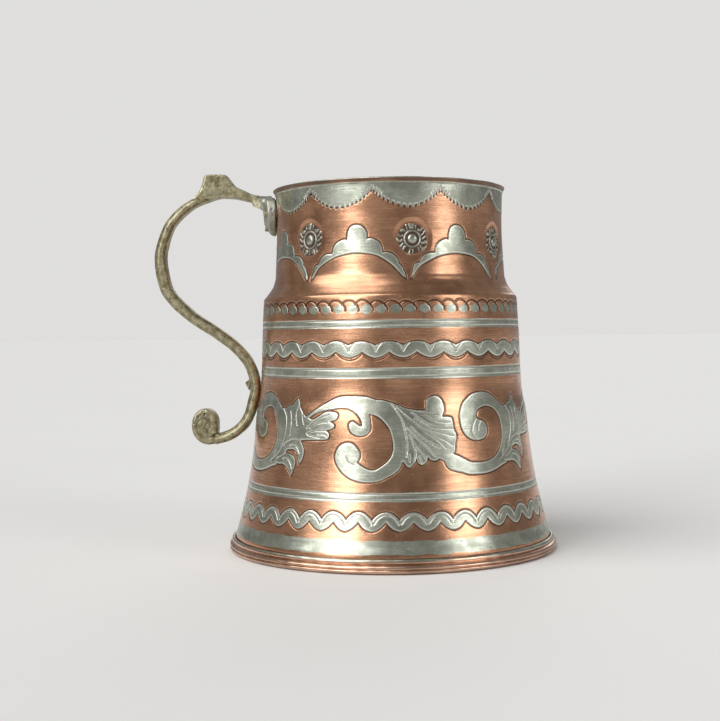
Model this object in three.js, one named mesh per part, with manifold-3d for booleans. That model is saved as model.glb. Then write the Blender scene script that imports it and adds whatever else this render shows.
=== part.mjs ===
// Raised copper tankard with a seamed base disc and a riveted, cast brass scroll handle.
// Millimetres, +Z up. The origin is on the vessel's axis, at the underside of the base disc.
// The handle stands towards -X.
import * as THREE from "three";
import { mergeVertices } from "three/addons/utils/BufferGeometryUtils.js";
import Module from "manifold-3d";

// Vessel, outside sizes
const RIM_HEIGHT = 140; // underside of the base to the top of the rim
const RIM_RADIUS = 45.4;
const LIP_HEIGHT = 2.3; // out-turned, thickened edge of the rim
const LIP_STEP = 0.25; // how far the lip's lower edge stands out from the neck
const RIM_ROUND = 0.45; // softened top edge
const NECK_TOP_RADIUS = 44.5;
const WAIST_RADIUS = 44.2; // narrowest place of the neck
const WAIST_HEIGHT = 123;
const NECK_FOOT_RADIUS = 45;
const NECK_FOOT_HEIGHT = 105.5;
const SHOULDER_RADIUS = 49.7; // ridge between shoulder and belly
const SHOULDER_HEIGHT = 97.3;
const BELLY_RADIUS = 50.8;
const BELLY_HEIGHT = 73;
const FLARE_RADIUS = 51.5; // where the wall begins to spread
const FLARE_HEIGHT = 61;
const STEP_RADIUS = 52.9; // soft step under the belly
const STEP_HEIGHT = 53.5;
const SKIRT_RADIUS = 54.6;
const SKIRT_HEIGHT = 38;
const HEM_RADIUS = 57.4; // where the skirt begins to sweep out to the foot
const HEM_HEIGHT = 22.5;
const SHEET = 1.2; // thickness of the raised wall

// Foot seam: the wall turns out into a flange, and the base disc folds up round it
const FOOT_RADIUS = 64.2;
const BASE_SHEET = 1.1; // thickness of the base disc
const FLANGE_THICKNESS = 1.1;
const FOLD_HEIGHT = 5.1; // top of the folded lip
const FOLD_SHEET = 0.9; // thickness of the folded-up edge
const FOLD_LEAN = 1.3; // how far the lip's top leans in from the bead
const BEAD_HEIGHT = 3.2; // rounded outside of the fold
const BEAD_GROOVE = 0.35; // depth of the line that divides the bead
const FOLD_GAP = 0.3; // play between the flange and the fold round it

// Handle casting
const SEAT_GAP = 0.3; // between the handle and the wall that it lies against
const ROOT_HEIGHT = 135.6; // bracket's centre line where it leaves the neck
const ARCH_RISE = 3.5; // top of the bracket's arch above its root
const GRIP_REACH = 45.4; // furthest centre line of the grip from the neck
const GRIP_HEIGHT = 112; // height of that furthest place
const CONTACT_HEIGHT = 63.4; // where the bar lies against the belly
const BAR_WIDTH = 8;
const GRIP_THICKNESS = 4.7;
const BRACKET_THICKNESS = 2.9;
const TAIL_THICKNESS = 4;
const OUTER_CHAMFER = 1.3;
const INNER_CHAMFER = 0.7;
const SCROLL_OUT = 22.1; // centre of the scroll from the belly wall
const SCROLL_HEIGHT = 48.2;
const SCROLL_RADIUS = 6.2; // centre line of the scroll's turn where the bar joins it
const SCROLL_END_RADIUS = 4;
const SCROLL_END_THICKNESS = 2.4;
const EYE_RADIUS = 3.9; // flat boss inside the turn
const EYE_INSET = 0.5; // how far the boss lies below the side of the bar
const THUMB_WIDTH = 8.6;
const THUMB_TOP = 146.2;
const THUMB_OUT = 27.2; // outer top corner of the thumb rest from the neck
const THUMB_LENGTH = 8.4; // flat top
const THUMB_BEVEL = 0.8;

// Spade-shaped pad that carries the handle on the neck
const PAD_LENGTH = 15; // from under the rim lip down to its tip
const PAD_WIDTH = 15;
const PAD_THICKNESS = 4.9; // at its top
const PAD_TIP_THICKNESS = 3.3;
const PAD_RIB = 0.5; // raised middle rib

// Rivets
const SHANK = 3; // diameter
const SHANK_GAP = 0.3; // play round a shank
const HEAD_RADIUS = 3.1;
const HEAD_HEIGHT = 1.4;
const PAIR_SPREAD = 8.8; // between the two upper rivets, across
const PAIR_DROP = 6.4; // from the pad's top down to the pair
const TIP_RIVET_DROP = 5; // from the pair down to the single rivet above the pad's tip
const THORN_RADIUS = 2.3; // hammered point outside the lower bar
const THORN_LENGTH = 1.9;
const THORN_LEAN = 0.7; // the point is bent upwards by this much

// Fineness of the curved faces
const ROUND_STEPS = 60;
const RIVET_STEPS = 12;

const wasm = await Module();
wasm.setup();

const copper = new THREE.MeshStandardMaterial({ color: 0xb87355, metalness: 1, roughness: 0.32 });
const copperBase = new THREE.MeshStandardMaterial({ color: 0xa5664b, metalness: 1, roughness: 0.4 });
const brass = new THREE.MeshStandardMaterial({ color: 0x8d8468, metalness: 0.9, roughness: 0.45 });
const rivetCopper = new THREE.MeshStandardMaterial({ color: 0xa87a5c, metalness: 1, roughness: 0.4 });

/** A closed geometry as a solid for joining and cutting. */
function solid(geometry) {
  const plain = geometry.index ? geometry.toNonIndexed() : geometry.clone();
  plain.deleteAttribute("normal");
  plain.deleteAttribute("uv");
  const merged = mergeVertices(plain, 1e-4);
  return new wasm.Manifold(
    new wasm.Mesh({
      numProp: 3,
      vertProperties: new Float32Array(merged.attributes.position.array),
      triVerts: new Uint32Array(merged.index.array),
    }),
  );
}

/** A solid back as a geometry with flat normals. */
function geometryOf(body) {
  const mesh = body.getMesh();
  const geometry = new THREE.BufferGeometry();
  const points = new Float32Array(mesh.numVert * 3);
  for (let i = 0; i < mesh.numVert; i++) {
    points.set(mesh.vertProperties.subarray(i * mesh.numProp, i * mesh.numProp + 3), i * 3);
  }
  geometry.setAttribute("position", new THREE.BufferAttribute(points, 3));
  geometry.setIndex(new THREE.BufferAttribute(mesh.triVerts, 1));
  geometry.computeVertexNormals();
  return geometry;
}

/** A profile of [radius, height] pairs turned round the Z axis. */
function revolve(profile, steps) {
  const points = profile.map(([r, z]) => new THREE.Vector2(Math.max(r, 0), z));
  return new THREE.LatheGeometry(points, steps).rotateX(Math.PI / 2);
}

/** Evenly spread points of a smooth curve through [radius, height] stations. */
function smooth(stations, count) {
  const curve = new THREE.CatmullRomCurve3(stations.map(([r, z]) => new THREE.Vector3(r, z, 0)));
  return curve.getSpacedPoints(count).map((p) => [p.x, p.y]);
}

// Outer profile of the wall, from the seam upwards.
const wallFootRadius = FOOT_RADIUS - FOLD_LEAN - FOLD_SHEET - FOLD_GAP;
const lipBottom = RIM_HEIGHT - LIP_HEIGHT;
const shoulderRise = NECK_FOOT_HEIGHT - SHOULDER_HEIGHT;
const shoulderRun = SHOULDER_RADIUS - NECK_FOOT_RADIUS;
const flareCurve = smooth(
  [
    [wallFootRadius, FOLD_HEIGHT],
    [HEM_RADIUS, HEM_HEIGHT],
    [SKIRT_RADIUS, SKIRT_HEIGHT],
    [STEP_RADIUS, STEP_HEIGHT],
    [FLARE_RADIUS, FLARE_HEIGHT],
    [BELLY_RADIUS, BELLY_HEIGHT],
    [(BELLY_RADIUS + SHOULDER_RADIUS) / 2 + 0.1, (BELLY_HEIGHT + SHOULDER_HEIGHT) / 2],
    [SHOULDER_RADIUS, SHOULDER_HEIGHT - 0.9],
  ],
  20,
);
const shoulderCurve = smooth(
  [
    [SHOULDER_RADIUS - 0.15, SHOULDER_HEIGHT],
    [SHOULDER_RADIUS - shoulderRun * 0.46, SHOULDER_HEIGHT + shoulderRise * 0.32],
    [SHOULDER_RADIUS - shoulderRun * 0.8, SHOULDER_HEIGHT + shoulderRise * 0.62],
    [NECK_FOOT_RADIUS, NECK_FOOT_HEIGHT],
  ],
  6,
);
const neckCurve = smooth(
  [
    [NECK_FOOT_RADIUS, NECK_FOOT_HEIGHT],
    [WAIST_RADIUS, WAIST_HEIGHT],
    [NECK_TOP_RADIUS, lipBottom],
  ],
  6,
).slice(1);
const outerWall = [...flareCurve, ...shoulderCurve, ...neckCurve];

/** Outer radius of the wall at a height. */
function wallRadius(height) {
  for (let i = 1; i < outerWall.length; i++) {
    const [r0, z0] = outerWall[i - 1];
    const [r1, z1] = outerWall[i];
    if (height <= z1) return r0 + ((r1 - r0) * (height - z0)) / (z1 - z0);
  }
  return NECK_TOP_RADIUS;
}

/** How far the wall leans outwards at a height, as an angle. */
function wallLean(height) {
  return Math.atan2(wallRadius(height + SHANK) - wallRadius(height - SHANK), 2 * SHANK);
}

/** A curve moved sideways by a distance, towards the axis. */
function offsetInwards(curve, distance) {
  return curve.map(([r, z], i) => {
    const [ra, za] = curve[Math.max(i - 1, 0)];
    const [rb, zb] = curve[Math.min(i + 1, curve.length - 1)];
    const run = Math.hypot(rb - ra, zb - za);
    return [r - (distance * (zb - za)) / run, z + (distance * (rb - ra)) / run];
  });
}

/** The raised sheet: flange, wall and rim lip in one closed profile. */
function makeBody() {
  const flangeTop = BASE_SHEET + FLANGE_THICKNESS;
  const flangeRadius = FOOT_RADIUS - FOLD_SHEET - FOLD_GAP;
  const inner = offsetInwards(outerWall, SHEET).reverse();
  const innerWall = inner.filter(([, z], i) => i % 2 === 0 && z < lipBottom && z > FOLD_HEIGHT + 1);
  const footInside = wallFootRadius - SHEET;
  const profile = [
    [footInside - 0.4, BASE_SHEET],
    [flangeRadius, BASE_SHEET],
    [flangeRadius, flangeTop - 0.2],
    [wallFootRadius + 0.25, flangeTop + 0.35],
    ...outerWall,
    [NECK_TOP_RADIUS + LIP_STEP, lipBottom + 0.1],
    [RIM_RADIUS, RIM_HEIGHT - RIM_ROUND],
    [RIM_RADIUS - RIM_ROUND, RIM_HEIGHT],
    [NECK_TOP_RADIUS - SHEET + RIM_ROUND, RIM_HEIGHT],
    [NECK_TOP_RADIUS - SHEET, RIM_HEIGHT - RIM_ROUND],
    ...innerWall,
    [footInside, FOLD_HEIGHT * 0.6],
    [footInside - 0.4, BASE_SHEET],
  ];
  return solid(revolve(profile, ROUND_STEPS));
}

/** The base disc with its edge folded up and over the flange. */
function makeBase() {
  const flangeTop = BASE_SHEET + FLANGE_THICKNESS;
  const seam = BEAD_HEIGHT / 2;
  const lipInner = wallFootRadius + FOLD_GAP;
  const profile = [
    [0, 0],
    [FOOT_RADIUS - 1.5, 0],
    [FOOT_RADIUS - 0.45, seam * 0.25],
    [FOOT_RADIUS, seam * 0.65],
    [FOOT_RADIUS - BEAD_GROOVE, seam],
    [FOOT_RADIUS, seam * 1.35],
    [FOOT_RADIUS - 0.3, seam * 1.75],
    [FOOT_RADIUS - FOLD_LEAN * 0.8, BEAD_HEIGHT + 0.15],
    [FOOT_RADIUS - FOLD_LEAN * 0.6, (BEAD_HEIGHT + FOLD_HEIGHT) / 2],
    [FOOT_RADIUS - FOLD_LEAN, FOLD_HEIGHT],
    [lipInner, FOLD_HEIGHT - 0.2],
    [lipInner, flangeTop + 0.9],
    [FOOT_RADIUS - FOLD_SHEET, flangeTop + FOLD_GAP],
    [FOOT_RADIUS - FOLD_SHEET, BASE_SHEET],
    [0, BASE_SHEET],
  ];
  return solid(revolve(profile, ROUND_STEPS));
}

/** A bar of chamfered section along a path in the XZ plane, closed at both ends. */
function loftBar(path, thicknessAt, steps) {
  const positions = [];
  const index = [];
  const sides = 8;
  for (let i = 0; i <= steps; i++) {
    const t = i / steps;
    const centre = path.getPoint(t);
    const run = path.getTangent(t);
    const out = new THREE.Vector3(run.z, 0, -run.x);
    const half = thicknessAt(t) / 2;
    const wide = BAR_WIDTH / 2;
    const outer = Math.min(OUTER_CHAMFER, half * 0.8);
    const inner = Math.min(INNER_CHAMFER, half * 0.6);
    const ring = [
      [half, wide - outer],
      [half - outer, wide],
      [-half + inner, wide],
      [-half, wide - inner],
      [-half, -wide + inner],
      [-half + inner, -wide],
      [half - outer, -wide],
      [half, -wide + outer],
    ];
    for (const [n, y] of ring) {
      positions.push(centre.x + out.x * n, y, centre.z + out.z * n);
    }
    if (i === 0) continue;
    for (let k = 0; k < sides; k++) {
      const a = (i - 1) * sides + k;
      const b = (i - 1) * sides + ((k + 1) % sides);
      index.push(a, b, a + sides, b, b + sides, a + sides);
    }
  }
  const last = steps * sides;
  for (let k = 1; k < sides - 1; k++) {
    index.push(0, k + 1, k);
    index.push(last, last + k, last + k + 1);
  }
  const geometry = new THREE.BufferGeometry();
  geometry.setAttribute("position", new THREE.BufferAttribute(new Float32Array(positions), 3));
  geometry.setIndex(index);
  return geometry;
}

/** A value that runs smoothly through [place, value] pairs. */
function blend(pairs) {
  return (t) => {
    for (let i = 1; i < pairs.length; i++) {
      const [a, va] = pairs[i - 1];
      const [b, vb] = pairs[i];
      if (t <= b) return va + (vb - va) * THREE.MathUtils.smoothstep(t, a, b);
    }
    return pairs[pairs.length - 1][1];
  };
}

const padTop = lipBottom - SEAT_GAP;
const padTip = padTop - PAD_LENGTH;
const pairHeight = padTop - PAIR_DROP;
const tipRivetHeight = pairHeight - TIP_RIVET_DROP;
const neckSeat = wallRadius(ROOT_HEIGHT) + SEAT_GAP;
const bellySeat = wallRadius(CONTACT_HEIGHT) + SEAT_GAP;
const scrollX = -(bellySeat + SCROLL_OUT);

/** Centre line of the bracket, the grip and the tail, from the neck down to the scroll. */
function handlePath() {
  const grip = neckSeat + GRIP_REACH;
  const top = (share, height) => [-(neckSeat + GRIP_REACH * share), height];
  const upper = (v) => GRIP_HEIGHT + (ROOT_HEIGHT + ARCH_RISE - GRIP_HEIGHT) * v;
  const bar = bellySeat + TAIL_THICKNESS / 2;
  const lower = (share, v) => [
    -(bar + (grip - bar) * share),
    CONTACT_HEIGHT + (GRIP_HEIGHT - CONTACT_HEIGHT) * v,
  ];
  const tailDrop = CONTACT_HEIGHT - SCROLL_HEIGHT;
  const tail = (share, v) => [-(bar + (-scrollX - bar) * share), SCROLL_HEIGHT + tailDrop * v];
  const points = [
    top(0.035, ROOT_HEIGHT),
    top(0.11, ROOT_HEIGHT + ARCH_RISE * 0.12),
    top(0.25, ROOT_HEIGHT + ARCH_RISE * 0.6),
    top(0.41, ROOT_HEIGHT + ARCH_RISE),
    top(0.58, upper(0.955)),
    top(0.76, upper(0.815)),
    top(0.905, upper(0.58)),
    top(0.985, upper(0.26)),
    [-grip, GRIP_HEIGHT],
    lower(0.95, 0.81),
    lower(0.84, 0.685),
    lower(0.65, 0.555),
    lower(0.42, 0.44),
    lower(0.2, 0.31),
    lower(0.055, 0.165),
    [-bar, CONTACT_HEIGHT],
    tail(0.05, 0.6),
    tail(0.125, 0.27),
    tail(0.26, -0.02),
    tail(0.49, -0.25),
    [scrollX + SCROLL_RADIUS * 0.6, SCROLL_HEIGHT - SCROLL_RADIUS * 0.97],
  ];
  return new THREE.CatmullRomCurve3(points.map(([x, z]) => new THREE.Vector3(x, 0, z)));
}

/** The turn of the scroll: a spiral that winds up and back over its own eye. */
function scrollPath() {
  const points = [];
  const turns = 16;
  for (let i = 0; i <= turns; i++) {
    const share = i / turns;
    const angle = THREE.MathUtils.degToRad(-58 - 292 * share);
    const radius = SCROLL_END_RADIUS + (SCROLL_RADIUS * 1.05 - SCROLL_END_RADIUS) * (1 - share) ** 3;
    points.push(
      new THREE.Vector3(scrollX + radius * Math.cos(angle), 0, SCROLL_HEIGHT + radius * Math.sin(angle)),
    );
  }
  return new THREE.CatmullRomCurve3(points);
}

/** The thumb rest: its side outline carried across the bar, under a bevelled crown. */
function thumbRest() {
  const outX = -(neckSeat + THUMB_OUT);
  const rootZ = ROOT_HEIGHT + ARCH_RISE;
  const tall = THUMB_TOP - rootZ;
  const outline = new THREE.Shape();
  outline.moveTo(outX - tall * 0.56, rootZ - tall * 0.22);
  outline.quadraticCurveTo(outX - tall * 0.2, rootZ + tall * 0.1, outX, THUMB_TOP);
  outline.lineTo(outX + THUMB_LENGTH * 0.92, THUMB_TOP);
  outline.lineTo(outX + THUMB_LENGTH, THUMB_TOP - 0.4);
  outline.quadraticCurveTo(
    outX + THUMB_LENGTH + tall * 0.32,
    rootZ + tall * 0.25,
    outX + THUMB_LENGTH + tall * 1.3,
    rootZ - 0.1,
  );
  outline.lineTo(outX + THUMB_LENGTH * 0.8, rootZ - BRACKET_THICKNESS * 0.35);
  outline.closePath();
  const across = { depth: THUMB_WIDTH, bevelEnabled: false, curveSegments: 8 };
  const slab = new THREE.ExtrudeGeometry(outline, across);
  slab.translate(0, 0, -THUMB_WIDTH / 2).rotateX(Math.PI / 2);
  const half = THUMB_WIDTH / 2;
  const floor = rootZ - tall;
  const crown = new THREE.Shape();
  crown.moveTo(-half, floor);
  crown.lineTo(half, floor);
  crown.lineTo(half, THUMB_TOP - THUMB_BEVEL);
  crown.lineTo(half - THUMB_BEVEL, THUMB_TOP);
  crown.lineTo(THUMB_BEVEL - half, THUMB_TOP);
  crown.lineTo(-half, THUMB_TOP - THUMB_BEVEL);
  crown.closePath();
  const reach = THUMB_LENGTH + 4 * tall;
  const length = new THREE.ExtrudeGeometry(crown, { depth: reach, bevelEnabled: false });
  length.rotateX(Math.PI / 2).rotateZ(Math.PI / 2).translate(outX - tall, 0, 0);
  return solid(slab).intersect(solid(length));
}

/** Spade outline of the pad, in the plane of the wall: across and up. */
function spadeOutline() {
  const half = PAD_WIDTH / 2;
  const tall = padTop - padTip;
  const outline = new THREE.Shape();
  outline.moveTo(0, padTip);
  const low = padTip + tall * 0.16;
  const swell = padTip + tall * 0.34;
  const widest = padTip + tall * 0.62;
  const high = padTip + tall * 0.8;
  const neckIn = padTop - tall * 0.08;
  outline.bezierCurveTo(half * 0.3, low, half, swell, half, widest);
  outline.bezierCurveTo(half, high, half * 0.8, neckIn, half * 0.55, padTop);
  outline.lineTo(-half * 0.55, padTop);
  outline.bezierCurveTo(-half * 0.8, neckIn, -half, high, -half, widest);
  outline.bezierCurveTo(-half, swell, -half * 0.3, low, 0, padTip);
  return outline;
}

/** How thick the pad is at a share of its height, from its tip up. */
function padThickness(share) {
  return THREE.MathUtils.lerp(PAD_TIP_THICKNESS, PAD_THICKNESS, Math.sqrt(share));
}

/** The pad: a ring that follows the neck at the seat gap, cut to the spade outline. */
function pad() {
  const below = padTip - 1;
  const above = padTop + 1;
  const steps = 8;
  const seat = [];
  const face = [];
  for (let i = 0; i <= steps; i++) {
    const height = THREE.MathUtils.lerp(below, above, i / steps);
    const radius = wallRadius(Math.min(height, lipBottom)) + SEAT_GAP;
    const share = THREE.MathUtils.clamp((height - padTip) / (padTop - padTip), 0, 1);
    seat.push([radius, height]);
    face.push([radius + padThickness(share), height]);
  }
  const ring = solid(revolve([...face, ...seat.reverse(), face[0]], ROUND_STEPS));
  const reach = wallRadius(padTop) + PAD_THICKNESS + 4;
  const inwards = { depth: reach, bevelEnabled: false, curveSegments: 10 };
  const prism = new THREE.ExtrudeGeometry(spadeOutline(), inwards);
  prism.rotateX(Math.PI / 2).rotateZ(-Math.PI / 2);
  return ring.intersect(solid(prism));
}

/** Raised rib down the middle of the pad, tapering to its tip. */
function padRib() {
  const outline = new THREE.Shape();
  const face = (height, share) => -(wallRadius(height) + SEAT_GAP + padThickness(share));
  const low = padTip + 1.6;
  outline.moveTo(face(low, 0.1) + 1, low);
  outline.lineTo(face(low, 0.1), low);
  outline.lineTo(face(tipRivetHeight, 0.25) - PAD_RIB, tipRivetHeight);
  outline.lineTo(face(ROOT_HEIGHT, 0.85) - PAD_RIB, ROOT_HEIGHT - BRACKET_THICKNESS / 2);
  outline.lineTo(face(ROOT_HEIGHT, 0.85) + 1, ROOT_HEIGHT);
  outline.closePath();
  const width = BAR_WIDTH * 0.3;
  const rib = new THREE.ExtrudeGeometry(outline, { depth: width, bevelEnabled: false });
  return rib.translate(0, 0, -width / 2).rotateX(Math.PI / 2);
}

/** A straight round cutter square to the wall, at a height and an angle from -X. */
function shankHole(height, angle) {
  const radius = SHANK / 2 + SHANK_GAP;
  const reach = 2 * (PAD_THICKNESS + PAD_RIB + SHEET + 2 * SHANK_GAP);
  const hole = new THREE.CylinderGeometry(radius, radius, reach, RIVET_STEPS);
  hole.rotateZ(Math.PI / 2).rotateY(-wallLean(height));
  hole.translate(-wallRadius(height), 0, height).rotateZ(angle);
  return solid(hole);
}

const pairAngle = Math.asin(PAIR_SPREAD / 2 / wallRadius(pairHeight));
const rivetPlaces = [
  { name: "rivet_upper_front", height: pairHeight, angle: pairAngle },
  { name: "rivet_upper_back", height: pairHeight, angle: -pairAngle },
  { name: "rivet_upper_tip", height: tipRivetHeight, angle: 0 },
];

/** The whole casting, bored for its rivets, with a small flat under the lower rivet's point. */
function makeHandle() {
  const barThickness = blend([
    [0, TAIL_THICKNESS + 1.2],
    [0.12, BRACKET_THICKNESS],
    [0.28, TAIL_THICKNESS * 0.93],
    [0.45, GRIP_THICKNESS],
    [0.72, TAIL_THICKNESS],
    [1, TAIL_THICKNESS],
  ]);
  const turnThickness = blend([
    [0, TAIL_THICKNESS],
    [0.5, SCROLL_END_THICKNESS],
    [1, SCROLL_END_THICKNESS],
  ]);
  const eyeLength = BAR_WIDTH - 2 * EYE_INSET;
  const eye = new THREE.CylinderGeometry(EYE_RADIUS, EYE_RADIUS, eyeLength, 24);
  eye.translate(scrollX, 0, 0).translate(0, 0, SCROLL_HEIGHT);
  let casting = solid(loftBar(handlePath(), barThickness, 64))
    .add(solid(loftBar(scrollPath(), turnThickness, 26)))
    .add(solid(eye))
    .add(thumbRest())
    .add(solid(padRib()))
    .add(pad());
  for (const { height, angle } of rivetPlaces) casting = casting.subtract(shankHole(height, angle));
  const flatDepth = THORN_LENGTH + THORN_LEAN;
  const flatRadius = THORN_RADIUS + SHANK_GAP;
  const flat = new THREE.CylinderGeometry(flatRadius, flatRadius, flatDepth, RIVET_STEPS);
  const wall = wallRadius(CONTACT_HEIGHT);
  const out = SEAT_GAP + TAIL_THICKNESS + flatDepth / 2;
  flat.translate(0, out, 0).rotateZ(Math.PI / 2).rotateY(-wallLean(CONTACT_HEIGHT));
  flat.translate(-wall, 0, CONTACT_HEIGHT);
  return casting.subtract(shankHole(CONTACT_HEIGHT, 0)).subtract(solid(flat));
}

/** A rivet along +X: domed head inside the vessel, shank, and its outer end. */
function rivet(length, outerEnd) {
  const steps = 4;
  const dome = [];
  for (let i = 0; i <= steps; i++) {
    const angle = (Math.PI / 2) * (i / steps);
    dome.push([HEAD_RADIUS * Math.sin(angle), -HEAD_HEIGHT * Math.cos(angle)]);
  }
  const profile = [...dome, [SHANK / 2, 0], ...outerEnd(length)];
  return new THREE.LatheGeometry(
    profile.map(([r, y]) => new THREE.Vector2(r, y)),
    RIVET_STEPS,
  ).rotateZ(Math.PI / 2);
}

/** Flush outer end. */
const flush = (length) => [
  [SHANK / 2, length - 0.2],
  [SHANK / 2 - 0.2, length],
  [0, length],
];

/** Hammered point that stands on the outside of the bar. */
const thorn = (length) => [
  [SHANK / 2, length],
  [THORN_RADIUS, length],
  [THORN_RADIUS * 0.62, length + THORN_LENGTH * 0.45],
  [0, length + THORN_LENGTH],
];

/** Bends the point of the thorn upwards, more towards its tip. */
function leanThorn(geometry, length) {
  const position = geometry.getAttribute("position");
  for (let i = 0; i < position.count; i++) {
    const beyond = -position.getX(i) - length;
    if (beyond > 0) position.setZ(i, position.getZ(i) + (THORN_LEAN * beyond) / THORN_LENGTH);
  }
  return geometry;
}

function named(name, body, material) {
  const mesh = new THREE.Mesh(geometryOf(body), material);
  mesh.name = name;
  return mesh;
}

const tankard = new THREE.Group();

let body = makeBody();
for (const { height, angle } of rivetPlaces) body = body.subtract(shankHole(height, angle));
body = body.subtract(shankHole(CONTACT_HEIGHT, 0));
tankard.add(named("tankard_body", body, copper));
tankard.add(named("base_disc", makeBase(), copperBase));
tankard.add(named("handle", makeHandle(), brass));

const headToWall = SHEET + SHANK_GAP;

/** Sets a rivet square into the wall, its head just clear of the inside. */
function setRivet(name, body, height, angle) {
  const mesh = named(name, body, rivetCopper);
  mesh.position.x = headToWall;
  const lean = new THREE.Group();
  lean.rotation.y = -wallLean(height);
  lean.position.set(-wallRadius(height), 0, height);
  lean.add(mesh);
  const turn = new THREE.Group();
  turn.rotation.z = angle;
  turn.add(lean);
  tankard.add(turn);
}

for (const { name, height, angle } of rivetPlaces) {
  const share = (height - padTip) / (padTop - padTip);
  const length = headToWall + SEAT_GAP + padThickness(share);
  setRivet(name, solid(rivet(length, flush)), height, angle);
}

const lowLength = headToWall + SEAT_GAP + TAIL_THICKNESS + SEAT_GAP;
setRivet("rivet_lower", solid(leanThorn(rivet(lowLength, thorn), lowLength)), CONTACT_HEIGHT, 0);

export default tankard;
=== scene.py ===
"""A raised copper tankard with tinned, engraved ornament and a cast brass scroll handle.

The scene is in metres, +Z up, with the handle towards -X and the front towards -Y. Sizes and
heights in the classes are millimetres, and angles run round the axis in degrees from the front.
"""

import logging
import math
from dataclasses import dataclass, field
from enum import Enum
from typing import Protocol, Sequence

import bpy
import numpy as np
from mathutils import Matrix, Vector, noise


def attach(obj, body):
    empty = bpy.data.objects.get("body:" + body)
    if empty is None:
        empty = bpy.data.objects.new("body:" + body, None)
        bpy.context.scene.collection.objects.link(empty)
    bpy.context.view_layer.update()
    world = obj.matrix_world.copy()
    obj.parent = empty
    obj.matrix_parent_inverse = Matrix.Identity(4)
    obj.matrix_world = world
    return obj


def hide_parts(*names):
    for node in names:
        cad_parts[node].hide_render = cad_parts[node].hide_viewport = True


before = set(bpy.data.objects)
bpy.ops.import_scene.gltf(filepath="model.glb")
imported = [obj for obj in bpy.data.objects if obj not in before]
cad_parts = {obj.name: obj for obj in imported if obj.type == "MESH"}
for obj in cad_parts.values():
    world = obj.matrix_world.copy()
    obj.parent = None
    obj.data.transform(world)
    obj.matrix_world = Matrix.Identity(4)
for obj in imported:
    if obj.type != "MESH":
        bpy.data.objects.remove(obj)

LOG = logging.getLogger("tankard")
MM = 0.001
FAR = 99.0  # millimetres, farther than any figure reaches
AWAY = 9.0  # millimetres, well clear of every line and every edge of tin
Line = Sequence[tuple[float, float]]
Colour = tuple[float, float, float, float]
Layers = Sequence[tuple[float, int, float]]  # of unevenness: depth, seed and size

# Figures of the engraved ornament: degrees from the figure's middle, height in millimetres.
# A doubled point is a corner.
SCROLL_DOWN = (
    (-29, 53.2), (-26.5, 54.6), (-24, 56.1), (-21, 57.9), (-18, 59.4), (-15.5, 60.6), (-12, 61.5),
    (-7, 61.6), (-2, 61.4), (0, 61), (2.5, 60.2), (5, 60), (8, 58.9), (10, 55.7), (12, 53),
    (13, 50.3), (13.7, 46.7), (13.8, 43.2), (13.3, 40.1), (11.8, 38.1), (10.8, 35.8), (9, 34.2),
    (7, 33.1), (4, 31.7), (1, 31.1), (-3, 31.1), (-6.5, 31.9), (-9, 33.1), (-11, 34.6),
    (-12.8, 36.8), (-13.7, 38.5), (-14, 40.5), (-13.3, 42.6), (-11.5, 44.2), (-9, 44.9), (-7, 44.6),
    (-5.2, 43.4), (-4, 41.7), (-4, 39.7), (-4.8, 38.1), (-4.8, 38.1), (-3, 36.8), (-1, 35.8),
    (1.5, 35.4), (4, 36.6), (6.5, 38.5), (8, 40.9), (8.5, 44), (8, 47.1), (7, 49.9), (5, 52.2),
    (3, 53.8), (1, 54.6), (-0.4, 54.8), (-0.4, 54.8), (0, 52.2), (0.2, 50.3), (-0.3, 48.7),
    (-1.8, 47.5), (-3.5, 47.1), (-5.5, 47.3), (-7.3, 48.3), (-8.3, 49.9), (-8.3, 51.4),
    (-7.3, 52.3), (-6.3, 52.2), (-5, 51.4), (-3.8, 50.7), (-3.2, 51), (-3.8, 53), (-5.2, 54.8),
    (-7, 56.1), (-9, 56.9), (-12, 57.2), (-15, 56.8), (-18, 56.3), (-21.5, 55.5), (-25, 54),
    (-27.5, 52.2),
)

FAN = (
    (6.5, 59.1), (8.5, 59.1), (11, 58.1), (14, 56.9), (17, 56.3), (21.5, 56.1), (21.5, 56.1),
    (21.7, 57.7), (22.2, 59.8), (24, 61.2), (26, 61.4), (28, 60.2), (29, 58.1), (29, 55.7),
    (28, 53.6), (28, 53.6), (30, 53.6), (32, 53), (32.5, 51), (32.8, 49.1), (33.7, 47.5),
    (33.7, 46), (33, 44), (32.8, 42), (32, 40.7), (28.5, 39.1), (26.6, 40.3), (26.6, 40.3),
    (25.8, 38.9), (24.3, 38.3), (22.6, 38.8), (21.6, 39.9), (21.6, 39.9), (21.2, 38.1), (19.5, 37),
    (17.8, 37.8), (17.3, 39.7), (17.3, 39.7), (16.6, 37.9), (14.5, 36.2), (12.8, 37.4),
    (11.6, 39.7), (11.2, 43.6), (11.2, 47.9), (10.2, 51.8), (8.2, 55.3),
)

STEM = (
    (23, 42), (23, 42), (28, 41.7), (30, 41.1), (33, 40.1), (36, 38.5), (39, 37.2), (42, 36.5),
    (46, 36.6), (51, 37.2), (54, 38.4), (53, 35.8), (50, 34), (46, 33.1), (42, 32.7), (38, 32.9),
    (35, 33.8), (32, 35.4), (28.5, 37.9), (24, 40.1), (23, 42),
)

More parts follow.
